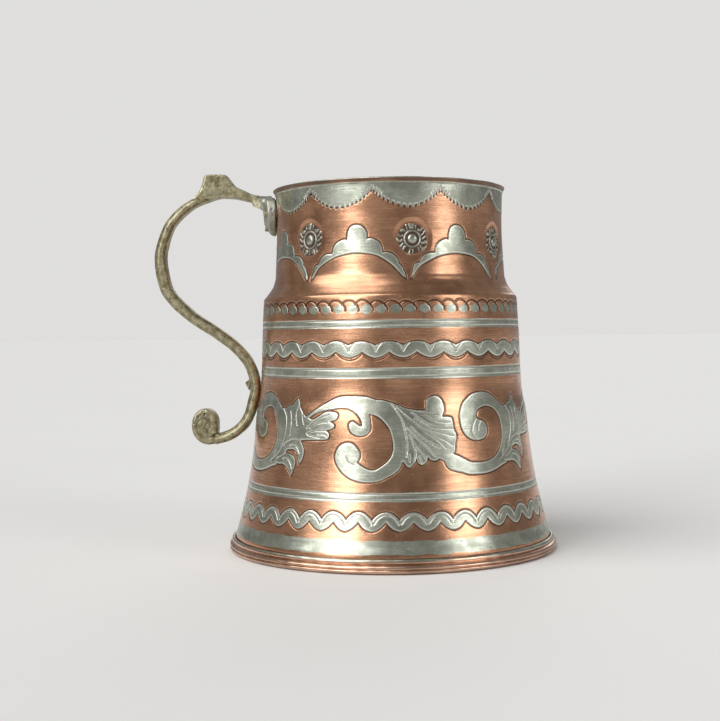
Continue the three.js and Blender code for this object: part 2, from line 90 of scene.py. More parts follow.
FAN_RIBS = (
    ((18.5, 55.1), (25, 52.4), (31, 51.6)),
    ((17, 53), (24, 49.3), (32.2, 47.1)),
    ((15.6, 50.3), (20, 46.3), (26.5, 43)),
    ((8, 58.5), (10, 55.7), (12, 53), (13, 50.3), (13.7, 46.7), (13.8, 43.2), (13.3, 40.1)),
    ((10, 57.3), (15, 53), (20, 49.5), (26, 45.6), (29, 42.8)),
    ((14, 49.9), (18, 46), (22, 42.8), (24.5, 40.1)),
    ((15, 47.5), (17, 43.6), (20, 40.5), (22, 38.3)),
    ((16, 45.2), (17, 41.7), (16.5, 38.5)),
    ((16, 55), (23, 50.7), (32, 49.5)),
    ((20, 49.5), (28, 46), (32, 43.6)),
    ((14.6, 40.9), (14.6, 38.1)),
    ((18.5, 40.1), (19.5, 37.4)),
    ((-9.4, 40.3), (-8.3, 38.1), (-6, 37.2)),
    ((11, 57.9), (18, 55.3), (26, 54.4)),
)

SCROLL_UP = (
    (-17.5, 39.9), (-17.5, 39.9), (-15.5, 40.2), (-13.2, 39.9), (-10.2, 38.5), (-7.2, 37.2),
    (-4, 36.9), (0, 37.1), (4, 38.2), (7.5, 40.6), (9.7, 43.8), (10.5, 47), (10.3, 50),
    (9.2, 53), (6.8, 55.5), (3.1, 56.8), (-0.4, 56.3), (-2.6, 55), (-3.3, 53.1), (-3.3, 53.1),
    (-2.4, 52.2), (-0.5, 51.8), (1.2, 50.8), (2.1, 49.1), (1.9, 47.3), (0.5, 45.8), (-1.7, 45),
    (-4.3, 44.9), (-6.8, 45.6), (-9, 47.2), (-10.6, 49.5), (-11.2, 52.6), (-10.8, 55),
    (-9.4, 58), (-7, 60.1), (-4, 61.6), (-1, 62.2), (2.5, 62.2), (6, 61.2), (9, 59.4),
    (11.5, 57.7), (13.5, 55.9), (15.3, 53.4), (16, 49.9), (15.2, 47.1), (14, 44.8), (12.5, 42),
    (10, 39.7), (10.5, 37.4), (12, 35.9), (9, 35), (5, 33.8), (0, 32.9), (-4.2, 32.7),
    (-8.2, 32.9), (-11.2, 33.6), (-14.2, 34.2), (-17, 35.2), (-18.5, 37.4), (-17.5, 39.9),
)

LEAVES = (
    (11.5, 56.5), (14.5, 56.5), (17, 57.7), (19, 58.1), (20.5, 59.6), (22, 60.6), (23, 59.3),
    (23.5, 57.7), (25, 55.7), (26.5, 54.2), (28.5, 53.4), (30.5, 52.8), (33, 53.8), (36, 55.5),
    (38.5, 55.9), (41, 55.5), (41.8, 54.4), (41, 52.8), (38.4, 52.1), (38.4, 52.1), (40, 51.4),
    (40.4, 50.3), (39, 49.3), (36.8, 48.9), (36.8, 48.9), (38, 48.1), (38.4, 46.9), (37.5, 45.8),
    (35, 45.5), (30, 45.4), (25, 45.2), (25, 45.2), (26.7, 42.8), (27, 40.9), (26.5, 38.5),
    (25.2, 36.6), (25.2, 36.6), (24, 38.5), (23.5, 40.5), (22, 41.7), (20, 42), (17.5, 41.5),
    (17, 40.5), (17, 40.5), (19.5, 40.3), (22, 38.9), (23, 37), (22.4, 34.6), (21.5, 32.1),
    (21.5, 32.1), (20, 33.8), (18, 35.4), (15.5, 36.2), (13, 36.1), (9, 37.4), (11, 42),
    (12.5, 46.7), (12.5, 51.8),
)

LEAF_VEINS = (
    ((14, 56.6), (16.2, 54), (17, 50.6), (16.3, 46.4), (14.1, 41.6), (11, 38.8), (7.9, 37)),
    ((23.9, 58.4), (22.7, 56.6), (22.2, 54.4), (22.4, 52.4), (23, 50.4)),
    ((25.5, 55.2), (25.7, 53.1), (26.4, 51.1)),
    ((28.3, 49.6), (30.6, 51.4), (32.8, 52.7), (35.3, 53.9), (37.8, 54.7)),
    ((29.7, 49.7), (31.6, 50.8), (34.2, 51.6), (37.2, 52)),
    ((28.1, 47.6), (30.5, 48.4), (33.4, 48.8), (36.4, 48.9)),
    ((28.5, 47.2), (31.3, 46.7), (34.3, 46.3)),
    ((33.5, 47.5), (36.1, 47.5), (37.4, 46.9)),
    ((18.9, 55.4), (19.6, 52.6), (19.7, 49.6), (19.2, 46.8)),
    ((16, 43.2), (18, 44.4), (21, 45.2), (23.5, 45.2)),
    ((19.5, 43.2), (23, 43), (24.9, 40.7)),
    ((12, 37.9), (14.7, 38.9), (17, 40.2)),
    ((16.2, 38.2), (18.8, 38), (20.7, 36.4), (21.5, 34.8)),
    ((-3.2, 52.9), (-4.9, 51.1), (-5.9, 48.7), (-5.3, 46.6), (-3.6, 45.4)),
    ((-1.9, 51.1), (-2.9, 49.9), (-2.9, 48.4)),
)

CLOUD = (
    (-23.5, 103.5), (-22.6, 106.2), (-21.8, 108.6), (-19.6, 109.2), (-19.6, 109.2), (-18.2, 111.3),
    (-15.5, 112.6), (-12.2, 112.8), (-12.2, 112.8), (-11.2, 115.3), (-9, 116.9), (-6, 117.7),
    (-4.6, 117.4), (-4.6, 117.4), (-4.2, 120.2), (-2.8, 122.2), (0, 123.1), (3.2, 122.5),
    (5.2, 120.4), (5.6, 117.7), (5.6, 117.7), (7.6, 117.9), (10.4, 116.9), (12.1, 115.3),
    (12.7, 112.7), (12.7, 112.7), (15, 112.9), (17.6, 112.2), (19.3, 110.9), (20.2, 109.2),
    (20.2, 109.2), (21.8, 107.8), (23.4, 105.4), (23.8, 103.4), (23.8, 103.4), (22.2, 104.3),
    (18, 107.8), (13, 110.5), (8, 112.1), (0, 112.7), (-9, 111.7), (-14, 110.2), (-19, 107.8),
    (-22, 104.7),
)

HALF_WAVE = (
    (0, 81.4), (1.6, 81.3), (3.2, 80.9), (4.6, 80.4), (5.8, 79.9), (5.8, 79.9), (6.4, 79.8),
    (6.4, 79.8), (7.4, 78.6), (7.4, 77), (6.8, 75.8), (6.8, 75.8), (5.8, 75.4), (4.2, 75.6),
    (2.4, 76.2), (1, 76.9), (0, 77.6),
)
WAVE_TICKS = (
    ((3.4, 80.6), (4.2, 79.8), (5, 78.8), (5.7, 77.7)),
    ((-3.4, 80.6), (-4.2, 79.8), (-5, 78.8), (-5.7, 77.7)),
    ((0.2, 77), (1.4, 76), (3.2, 75), (5.8, 74.5), (8.4, 75), (10.2, 76), (11.4, 77)),
)
HALF_RUNNING_WAVE = (
    (0, 21.35), (2.2, 20.8), (4, 19.4), (4.74, 18.4), (4.74, 18.4), (5.3, 18.6), (5.3, 18.6),
    (6.1, 17.2), (5.7, 15.2), (5.7, 15.2), (4.74, 14.6), (2.6, 15.3), (1, 16.6), (0, 17.7),
)
RUNNING_WAVE_TICKS = (
    ((-4.3, 17.1), (-3, 18.9), (-1.5, 19.9), (0, 20.2), (1.5, 19.8), (3, 18.7), (4.2, 16.9)),
)
DROP = (
    (-0.5, 92.5), (0.4, 93.5), (1.8, 94.2), (3.2, 93.9), (4.3, 92.6), (3.5, 91.4), (2, 90.9),
    (0.5, 91.4),
)
CRESCENT = (
    ((-2.6, 94), (-1.9, 94.8), (-0.7, 95.4), (0.7, 95.5), (2.1, 95.2), (3.4, 94.4), (4.5, 93.2),
     (4.8, 92)),
)


def mirrored(half: Line) -> Line:
    """An outline from its right half, which runs from its top down to a corner at its foot."""
    return (*half, *((-across, up) for across, up in half[:0:-1]))


def smoothstep(value: np.ndarray, low: float, high: float) -> np.ndarray:
    """Rises smoothly from 0 at low to 1 at high."""
    share = np.clip((value - low) / (high - low), 0.0, 1.0)
    return share * share * (3.0 - 2.0 * share)


def cubic_weights(t: np.ndarray) -> tuple[np.ndarray, np.ndarray, np.ndarray, np.ndarray]:
    """What the start, the start's slope, the end and the end's slope weigh in a cubic piece."""
    return 2 * t**3 - 3 * t**2 + 1, t**3 - 2 * t**2 + t, 3 * t**2 - 2 * t**3, t**3 - t**2


def spline(points: Line, closed: bool, steps: int = 6) -> np.ndarray:
    """A smooth line through points, with a corner wherever a point is doubled.

    Args:
        points: the points it runs through.
        closed: whether it comes back to its first point.
        steps: how many straight pieces stand for the stretch between two points.

    Returns:
        The points of the smooth line, one row each.
    """
    knots = np.asarray(points, float)
    before = np.roll(knots, 1, 0)
    after = np.roll(knots, -1, 0)
    if not closed:
        before[0] = knots[0]
        after[-1] = knots[-1]
    slope = (after - before) / 2.0
    weights = cubic_weights((np.arange(steps) / steps)[:, None])
    made = []
    for i in range(len(knots) - (0 if closed else 1)):
        j = (i + 1) % len(knots)
        if not np.allclose(knots[i], knots[j]):
            parts = zip(weights, (knots[i], slope[i], knots[j], slope[j]))
            made.append(sum(weight * part for weight, part in parts))
    if not closed:
        made.append(knots[-1:])
    return np.concatenate(made)


def through(stations: Line, places: np.ndarray) -> np.ndarray:
    """A monotone smooth curve through (place, value) stations.

    Args:
        stations: pairs in rising order of place.
        places: where the curve is read.

    Returns:
        Its values at those places.
    """
    x, y = np.asarray(stations, float).T
    run = np.diff(x)
    rise = np.diff(y) / run
    slope = np.zeros_like(y)
    same = rise[:-1] * rise[1:] > 0
    weight = (run[:-1] + 2 * run[1:], 2 * run[:-1] + run[1:])
    with np.errstate(divide="ignore", invalid="ignore"):
        mean = (weight[0] + weight[1]) / (weight[0] / rise[:-1] + weight[1] / rise[1:])
    slope[1:-1] = np.where(same, mean, 0.0)
    slope[0], slope[-1] = rise[0], rise[-1]
    at = np.clip(np.searchsorted(x, places) - 1, 0, len(run) - 1)
    start, from_start, end, from_end = cubic_weights(np.clip((places - x[at]) / run[at], 0.0, 1.0))
    return (
        start * y[at] + from_start * run[at] * slope[at]
        + end * y[at + 1] + from_end * run[at] * slope[at + 1]
    )


def unevenness(angle: np.ndarray, height: np.ndarray, seed: int, size: float) -> np.ndarray:
    """Soft hand-made unevenness round the vessel, between about -1 and 1.

    Args:
        angle: degrees round the axis.
        height: millimetres.
        seed: chooses the pattern.
        size: millimetres from one swelling to the next.

    Returns:
        The unevenness at each place.
    """
    draw = np.random.default_rng(seed)
    total = np.zeros(np.broadcast(angle, height).shape)
    waves, half_round, half_wave, full_turn = 7, 160.0, 3.2, 6.28
    for _ in range(waves):
        turns = max(1, round(draw.normal(0.0, 1.0) * half_round / size)) * draw.choice((-1, 1))
        climb = draw.normal(0.0, 1.0) * half_wave / size
        start = draw.uniform(0.0, full_turn)
        total += np.sin(np.radians(angle) * turns + climb * height + start)
    return total / math.sqrt(waves)


def layered(angle: np.ndarray, height: np.ndarray, layers: Layers) -> np.ndarray:
    """Several layers of unevenness added up."""
    return sum(depth * unevenness(angle, height, seed, size) for depth, seed, size in layers)


def distances(points: np.ndarray, line: np.ndarray, closed: bool) -> tuple[np.ndarray, np.ndarray]:
    """How far points lie from a line, and whether they lie inside it.

    Args:
        points: places, one row each.
        line: the line's points.
        closed: whether the line closes on itself.

    Returns:
        The distances, and which points are inside a closed line.
    """
    px, py = points.T
    nearest = np.full(len(points), FAR**2)
    inside = np.zeros(len(points), bool)
    for i in range(len(line) if closed else len(line) - 1):
        ax, ay = line[i]
        bx, by = line[(i + 1) % len(line)]
        dx, dy = bx - ax, by - ay
        share = np.clip(((px - ax) * dx + (py - ay) * dy) / (dx * dx + dy * dy + 1e-12), 0.0, 1.0)
        gap = (px - ax - share * dx) ** 2 + (py - ay - share * dy) ** 2
        np.minimum(nearest, gap, out=nearest)
        if closed and dy:
            inside ^= ((ay > py) != (by > py)) & (px < ax + (py - ay) * dx / dy)
    return np.sqrt(nearest), inside


class Figure:
    """One engraved figure, held as distances on a fine grid so that it can be set many times."""

    pitch: float = 0.16
    margin: float = 2.5

    def __init__(self, outlines: Sequence[Line], strokes: Sequence[Line], radius: float) -> None:
        """Draws the figure.

        Args:
            outlines: closed outlines whose insides are tinned.
            strokes: open engraved lines.
            radius: the wall's radius at the figure, in millimetres.
        """
        self.radius = radius
        every = np.concatenate([np.asarray(line, float) for line in (*outlines, *strokes)])
        every[:, 0] = self._across(every[:, 0])
        self.low = every.min(0) - self.margin
        high = every.max(0) + self.margin
        self.shape = tuple(np.ceil((high - self.low) / self.pitch).astype(int) + 1)
        self.reach = math.degrees(max(-self.low[0], high[0]) / radius)
        grid = np.stack(np.meshgrid(*(np.arange(n) for n in self.shape), indexing="ij"), -1)
        places = self.low + grid.reshape(-1, 2) * self.pitch
        inside = np.full(len(places), -FAR)
        for line in outlines:
            far, within = distances(places, self._flat(line, True), True)
            inside = np.maximum(inside, np.where(within, far, -far))
        stroke = np.full(len(places), FAR)
        for line in strokes:
            stroke = np.minimum(stroke, distances(places, self._flat(line, False), False)[0])
        self.inside = inside.reshape(self.shape)
        self.stroke = stroke.reshape(self.shape)

    def _across(self, degrees: np.ndarray) -> np.ndarray:
        """Degrees as millimetres round the wall."""
        return np.radians(degrees) * self.radius

    def _flat(self, line: Line, closed: bool) -> np.ndarray:
        """A line in millimetres on the unrolled wall.

        Args:
            line: its points, in degrees and millimetres.
            closed: whether it closes on itself.

        Returns:
            The points of the smooth line.
        """
        points = spline(line, closed)
        points[:, 0] = self._across(points[:, 0])
        return points

    def read(self, degrees: np.ndarray, height: np.ndarray) -> tuple[np.ndarray, np.ndarray]:
        """Reads the figure's distances.

        Args:
            degrees: angles from the figure's middle.
            height: heights in millimetres.

        Returns:
            How deep inside the tinned shape each place is, and how far from the strokes.
        """
        across = (self._across(degrees) - self.low[0]) / self.pitch
        up = (height - self.low[1]) / self.pitch
        last_i, last_j = self.shape[0] - 2, self.shape[1] - 2
        i = np.clip(across.astype(int), 0, last_i)
        j = np.clip(up.astype(int), 0, last_j)
        s = np.clip(across - i, 0.0, 1.0)
        t = np.clip(up - j, 0.0, 1.0)
        outside = (across < 0) | (up < 0) | (i >= last_i) | (j >= last_j)
        found = []
        for grid, empty in ((self.inside, -FAR), (self.stroke, FAR)):
            low = grid[i, j] * (1 - s) + grid[i + 1, j] * s
            high = grid[i, j + 1] * (1 - s) + grid[i + 1, j + 1] * s
            found.append(np.where(outside, empty, low * (1 - t) + high * t))
        return found[0], found[1]


@dataclass
class Marks:
    """What the ornament does to the wall at a set of places, all in millimetres."""

    tin: np.ndarray  # how deep inside the tin, below 0 outside it
    line: np.ndarray  # how deep inside the nearest engraved outline, below 0 outside it
    cut: np.ndarray  # distance from the edge of the nearest other line, below 0 inside it
    oxide_and_painted_reflection: np.ndarray  # black in the sunk ground, 0 to 1
    raised: np.ndarray  # how far the sheet is worked outwards

    @classmethod
    def blank(cls, count: int) -> "Marks":
        """A bare copper wall."""
        away = np.full(count, -AWAY)
        return cls(away.copy(), away.copy(), -away, np.zeros(count), np.zeros(count))


class Feature(Protocol):
    """Anything that marks the wall."""

    def mark(self, angle: np.ndarray, height: np.ndarray, marks: Marks) -> None:
        """Adds its tin, lines and relief."""


@dataclass(frozen=True)
class TinBand:
    """A plain tinned belt with engraved lines along it."""

    low: float
    high: float
    lines: tuple[float, ...] = ()
    seed: int = 1
    ragged: float = 0.12
    line_width: float = 0.55
    drift: float = 0.16
    drift_size: float = 60.0
    ragged_size: float = 6.0

    def mark(self, angle: np.ndarray, height: np.ndarray, marks: Marks) -> None:
        """Adds the belt and its lines.

        Args:
            angle: degrees round the axis.
            height: heights in millimetres.
            marks: the marks that it adds to.
        """
        level = np.zeros_like(height)
        drift = self.drift * unevenness(angle, level, self.seed, self.drift_size)
        edge = self.ragged * unevenness(angle, height, self.seed + 50, self.ragged_size)
        inside = np.minimum(height - self.low, self.high - height) + drift * 0.4 + edge
        np.maximum(marks.tin, inside, out=marks.tin)
        for line in self.lines:
            away = np.abs(height - line - drift) - self.line_width / 2
            np.minimum(marks.cut, away, out=marks.cut)


@dataclass(frozen=True)
class Lappets:
    """The tinned collar under the rim, cut to hanging lobes edged with ticks."""

    count: int = 11
    phase: float = -7.6
    cusp: float = 136.0
    drop: float = 6.3
    radius: float = 44.5
    sway: float = 0.4
    rough: float = 0.12
    tick_pitch: float = 2.25
    tick_length: float = 1.25
    tick_width: float = 0.95
    tassel: Line = ((0.0, 2.4), (1.3, 2.2), (2.6, 1.9), (3.9, 1.5))
    tassel_width: float = 0.72
    tassel_spread: float = 0.12

    def mark(self, angle: np.ndarray, height: np.ndarray, marks: Marks) -> None:
        """Adds the collar, the ticks along its edge and the tassels where its lobes meet.

        Args:
            angle: degrees round the axis.
            height: heights in millimetres.
            marks: the marks that it adds to.
        """
        pitch = 360.0 / self.count
        level = np.zeros_like(height)
        from_first = angle + self.sway * unevenness(angle, level, 31, 110.0) - self.phase
        share = np.mod(from_first, pitch) / pitch
        lobe = 1.0 - (2.0 * share - 1.0) ** 2
        edge = self.cusp - self.drop * lobe + self.rough * unevenness(angle, level, 33, 5.0)
        slope = self.drop * 4.0 * (2.0 * share - 1.0) / (math.radians(pitch) * self.radius)
        steep = np.sqrt(1.0 + slope**2)
        inside = (height - edge) / steep

        along = np.radians(np.mod(from_first, pitch) - pitch / 2) * self.radius * steep
        number = np.round(along / self.tick_pitch)
        uneven = 0.2 * np.sin(number * 7.3 + np.floor(from_first / pitch) * 2.1)
        beside = np.abs(along - number * self.tick_pitch + uneven * 0.6) - self.tick_width / 2
        reach = np.abs(inside + 0.15 + uneven * 0.5) - self.tick_length / 2
        np.maximum(marks.tin, np.maximum(inside, -np.maximum(beside, reach)), out=marks.tin)
        np.minimum(marks.cut, np.maximum(0.12 - beside, reach), out=marks.cut)

        at_cusp = np.radians(np.minimum(share, 1 - share) * pitch) * self.radius
        above = height - self.cusp
        for place, tall in self.tassel:
            side = np.abs(at_cusp - place - self.tassel_spread * place * above)
            end = np.abs(above + 0.2 + place * 0.5) - tall / 2
            cut = np.maximum(side - self.tassel_width / 2, end)
            np.minimum(marks.cut, cut, out=marks.cut)


@dataclass(frozen=True)
class Rosettes:
    """Struck rosettes: domed boss, ring and short rays on a black ground in a dished field."""

    count: int = 7
    phase: float = -41.5
    height: float = 118.4
    radius: float = 44.25
    boss: float = 1.8
    boss_height: float = 0.75
    ring: float = 3.15
    ring_width: float = 0.6
    rays: int = 16
    reach: float = 5.85
    crest: float = 0.34
    dish: float = 0.3
    field_reach: float = 10.0

    def mark(self, angle: np.ndarray, height: np.ndarray, marks: Marks) -> None:
        """Strikes the rosettes into the wall, no two of them quite alike.

        Args:
            angle: degrees round the axis.
            height: heights in millimetres.
            marks: the marks that it adds to.
        """
        pitch = 360.0 / self.count
        number = np.round((angle - self.phase) / pitch)
        hand = 1.0 - np.cos(number * 2.1)
        across = np.radians(angle - self.phase - number * pitch) * self.radius - 0.5 * hand
        up = height - self.height + 0.5 * hand
        out = np.hypot(across, up) * (1.0 + 0.05 * hand)
        near = out < self.field_reach

        turn = np.arctan2(up, across) + number * 0.7 + 0.1 * np.sin(2 * across + number)
        tips = self.reach + 0.28 * np.sin(turn * 5.0 + number)
        ray = (np.cos(turn * self.rays) - 0.3 + 0.25 * np.sin(turn * 3 + number)) * 0.5
        petal = np.minimum(ray, np.minimum(out - self.ring - 0.75, tips - out))
        ring = self.ring_width / 2 - np.abs(out - self.ring)
        struck = np.maximum(np.maximum(petal, ring), self.boss - out)
        ground = smoothstep(self.reach + 0.2 - out, -0.3, 0.35)
        metal = smoothstep(struck, -0.14, 0.2)
        marks.oxide_and_painted_reflection[near] = np.maximum(marks.oxide_and_painted_reflection, ground * (1.0 - metal))[near]
        marks.tin[near] = np.maximum(marks.tin, np.minimum(struck + 0.05, 0.5))[near]

        round_top = np.clip(1.0 - (out / (self.boss + 0.15)) ** 2, 0.0, 1.0)
        dome = self.boss_height * np.sqrt(round_top)
        crest = metal * self.crest * (out > self.boss)
        oval = np.hypot(across / 1.04, up / 1.1)
        sunk = self.dish * (1.0 - smoothstep(oval, self.reach - 0.4, self.reach + 1.5))
        marks.raised[near] += (dome + crest - sunk)[near]


@dataclass(frozen=True)
class Row:
    """Figures set in a row round the wall, with the uneven hand of engraving."""

    places: tuple[tuple[Figure, float], ...]
    low: float
    high: float
    seed: int = 5
    outlined: bool = True
    stroke_width: float = 0.52
    swell: float = 0.03
    sway: float = 0.14
    sway_size: float = 9.0
    drop: float = 0.0
    reach: float = 2.0

    def mark(self, angle: np.ndarray, height: np.ndarray, marks: Marks) -> None:
        """Sets every figure, joins those that touch, and cuts their lines.

        Args:
            angle: degrees round the axis.
            height: heights in millimetres.
            marks: the marks that it adds to.
        """
        rows = (height > self.low - self.reach) & (height < self.high + self.reach)
        if not rows.any():
            return
        a, h = angle[rows], height[rows]
        lean = self.sway * unevenness(a, h, self.seed, self.sway_size)
        rise = self.sway * unevenness(a, h, self.seed + 9, self.sway_size)
        inside = np.full(a.shape, -FAR)
        stroke = np.full(a.shape, FAR)
        for figure, middle in self.places:
            turn = np.mod(a - middle + 180.0, 360.0) - 180.0
            near = np.abs(turn) < figure.reach
            if not near.any():
                continue
            turned_by = turn[near] + np.degrees(lean[near] / figure.radius)
            found, lines = figure.read(turned_by, h[near] + rise[near] + self.drop)
            inside[near] = np.maximum(inside[near], found)
            stroke[near] = np.minimum(stroke[near], lines)
        marks.tin[rows] = np.maximum(marks.tin[rows], inside)
        nearer = self.outlined & (np.abs(inside) < np.abs(marks.line[rows]))
        marks.line[rows] = np.where(nearer, inside, marks.line[rows])
        marks.cut[rows] = np.minimum(marks.cut[rows], stroke - self.stroke_width / 2)
        marks.raised[rows] += self.swell * smoothstep(inside, 0.2, 1.8)


def round_the_wall(
    figure: Figure, count: int, phase: float, late: Line = ((0.0, 0.0),)
) -> tuple[tuple[Figure, float], ...]:
    """Sets a figure round the wall.

    Args:
        figure: the figure.
        count: how many times it is set.
        phase: the middle of the first one, in degrees.
        late: how many degrees it is late there, as (place, lateness) pairs.

    Returns:
        The figure with the middle of each place.
    """
    places, degrees = zip(*late)
    middles = (phase + 360.0 * i / count for i in range(count))
    return tuple((figure, middle + float(np.interp(middle, places, degrees))) for middle in middles)


@dataclass
class Ornament:
    """All the engraving and tinning of the outside wall, set out from the rim down."""

    depth: float = 0.14
    stroke_depth: float = 0.075
    line_width: float = 0.62
    cloud_middles: tuple[float, ...] = (-65.6, -15.9, 33.6, 85.7, 138.0, 190.4, 242.7)
    scroll_first: float = -63.0
    scroll_late: tuple[float, ...] = (0.0, 3.57, -1.1, 3.3, 0.4, 3.6, 0.0)
    wave_late: Line = (
        (-20.0, 0.0), (5.0, -1.1), (17.0, -1.1), (29.0, -1.9), (45.0, -1.9), (130.0, 0.0),
    )
    features: tuple[Feature, ...] = ()

    def __post_init__(self) -> None:
        """Draws the figures and sets out the belts."""
        clouds = Figure((CLOUD,), (), 44.5)
        drops = Figure((DROP,), CRESCENT, 50.0)
        waves = Figure((mirrored(HALF_WAVE),), WAVE_TICKS, 50.6)
        running = Figure((mirrored(HALF_RUNNING_WAVE),), RUNNING_WAVE_TICKS, 58.4)
        pitch = 360.0 / len(self.scroll_late)
        scrolls = (
            Figure((SCROLL_UP, LEAVES), LEAF_VEINS, 53.4),
            Figure((SCROLL_DOWN, FAN, STEM), FAN_RIBS, 53.4),
        )
        frieze = tuple(
            (scrolls[i % 2], self.scroll_first + i * pitch + late)
            for i, late in enumerate(self.scroll_late)
        )
        self.features = (
            Lappets(),
            Rosettes(),
            Row(tuple((clouds, middle) for middle in self.cloud_middles), 103.0, 124.0, 11),
            Row(
                round_the_wall(drops, 60, -23.6), 90.0, 96.5, 12,
                outlined=False, stroke_width=0.75, sway=0.2,
            ),
            TinBand(85.6, 88.6, (88.15, 86.05), seed=13),
            Row(round_the_wall(waves, 31, -22.7, self.wave_late), 74.0, 82.0, 14, drop=0.4),
            TinBand(67.4, 71.5, (70.9, 68.1), seed=15),
            Row(frieze, 31.0, 63.0, 16),
            TinBand(24.3, 27.6, (27.0, 24.9), seed=18),
            Row(round_the_wall(running, 38, -21.0), 14.0, 22.0, 19, drop=0.6),
            TinBand(6.3, 11.1, seed=20, ragged=0.24),
        )

    def at(self, angle: np.ndarray, height: np.ndarray) -> Marks:
        """Reads the whole ornament.

        Args:
            angle: degrees round the axis.
            height: heights in millimetres.

        Returns:
            The marks at those places, with the engraved lines sunk into the sheet.
        """
        marks = Marks.blank(len(angle))
        for feature in self.features:
            feature.mark(angle, height, marks)
        outline = np.abs(marks.line + 0.1) - self.line_width / 2
        marks.raised -= np.maximum(
            self.depth * (1.0 - smoothstep(outline, -0.34, 0.13)),
            self.stroke_depth * (1.0 - smoothstep(marks.cut, -0.24, 0.26)),
        )
        return marks


def turned(radius: np.ndarray, angle: np.ndarray, height: np.ndarray) -> np.ndarray:
    """Places round the axis, in metres; the angle is in degrees from the front."""
    turn = np.radians(angle)
    return np.stack([radius * np.sin(turn), -radius * np.cos(turn), height], -1) * MM


def spread(columns: int, heights: np.ndarray) -> tuple[np.ndarray, np.ndarray]:
    """Angles and heights of a grid round the axis, one row for each height."""
    angle, height = np.meshgrid(np.arange(columns) * 360.0 / columns, heights)
    return angle, height


def grid_faces(rows: int, columns: int, first: int = 0, flip: bool = False) -> np.ndarray:
    """Quads of a closed belt of vertices.

    Args:
        rows: rows of vertices.
        columns: vertices round each row, which closes on itself.
        first: number of the first vertex.
        flip: whether the faces look towards the axis.

    Returns:
        The corners of the quads, one row each.
    """
    i = np.arange(rows - 1)[:, None] * columns
    j = np.arange(columns)[None, :]
    after = (j + 1) % columns
    corners = np.stack([i + j, i + after, i + columns + after, i + columns + j], -1).reshape(-1, 4)
    return (corners[:, ::-1] if flip else corners) + first


def make_piece(
    name: str,
    points: np.ndarray,
    faces: Sequence[np.ndarray],
    attributes: dict[str, np.ndarray] | None = None,
    crease: float = 50.0,
) -> bpy.types.Object:
    """A mesh object from arrays.

    Args:
        name: the piece's name.
        points: its vertices in metres.
        faces: arrays of corners; every row of one array has as many corners.
        attributes: values for each vertex that its finish reads.
        crease: degrees between faces from which an edge is shown sharp.

    Returns:
        The new object, smoothly shaded.
    """
    mesh = bpy.data.meshes.new(name)
    corners = np.concatenate([np.asarray(group, np.int32).ravel() for group in faces])
    sizes = np.concatenate([np.full(len(group), group.shape[1], np.int32) for group in faces])
    starts = np.concatenate([[0], np.cumsum(sizes)[:-1]]).astype(np.int32)
    mesh.vertices.add(len(points))
    mesh.vertices.foreach_set("co", np.asarray(points, np.float32).ravel())
    mesh.loops.add(len(corners))
    mesh.loops.foreach_set("vertex_index", corners)
    mesh.polygons.add(len(sizes))
    mesh.polygons.foreach_set("loop_start", starts)
    mesh.polygons.foreach_set("use_smooth", np.ones(len(sizes), bool))
    mesh.update(calc_edges=True)
    mesh.validate()
    for key, values in (attributes or {}).items():
        layer = mesh.attributes.new(key, "FLOAT", "POINT")
        layer.data.foreach_set("value", np.asarray(values, np.float32))
    mesh.set_sharp_from_angle(angle=math.radians(crease))
    made = bpy.data.objects.new(name, mesh)
    bpy.context.scene.collection.objects.link(made)
    return made


def lathe(
    name: str, profile: np.ndarray, columns: int, shift: np.ndarray,
    attributes: dict[str, np.ndarray] | None = None,
) -> bpy.types.Object:
    """Turns a profile that closes on itself, or starts and ends on the axis.

    Args:
        name: the piece's name.
        profile: (radius, height) rows, outside first when read upwards.
        columns: places round the axis.
        shift: how far each place stands out, one row for each point of the profile.
        attributes: values for each place, in rows as shift.

    Returns:
        The new object.
    """
    on_axis = profile[0, 0] < 1e-6
    run = np.roll(profile, -1, 0) - np.roll(profile, 1, 0)
    if on_axis:
        run[0], run[-1] = profile[1] - profile[0], profile[-1] - profile[-2]
    normal = np.stack([run[:, 1], -run[:, 0]], -1)
    normal /= np.linalg.norm(normal, axis=1)[:, None] + 1e-9
    radius = profile[:, :1] + normal[:, :1] * shift
    height = profile[:, 1:] + normal[:, 1:] * shift
    points = turned(radius, spread(columns, profile[:, 1])[0], height)
    rows = len(profile)
    j = np.arange(columns)
    after = (j + 1) % columns
    values = attributes or {}
    if not on_axis:
        last = (rows - 1) * columns
        seam = np.stack([last + j, last + after, after, j], -1)
        values = {key: value.ravel() for key, value in values.items()}
        return make_piece(name, points.reshape(-1, 3), [grid_faces(rows, columns), seam], values)
    body = points[1:-1].reshape(-1, 3)
    poles = np.array([[0.0, 0.0, profile[0, 1]], [0.0, 0.0, profile[-1, 1]]]) * MM
    last = (rows - 3) * columns
    caps = np.concatenate([
        np.stack([after, j, np.full(columns, len(body))], -1),
        np.stack([last + j, last + after, np.full(columns, len(body) + 1)], -1),
    ])
    values = {
        key: np.concatenate([value[1:-1].ravel(), [value[0].mean(), value[-1].mean()]])
        for key, value in values.items()
    }
    faces = [grid_faces(rows - 2, columns), caps]
    return make_piece(name, np.concatenate([body, poles]), faces, values)


def dress(
    piece: bpy.types.Object, material: bpy.types.Material, node: str
) -> bpy.types.Object:
    """Gives a piece its finish, sets it under the root and hides the solid that it stands for.

    Args:
        piece: the new piece.
        material: its finish.
        node: the solid that it replaces.

    Returns:
        The piece.
    """
    piece.data.materials.append(material)
    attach(piece, "root")
    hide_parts(node)
    return piece


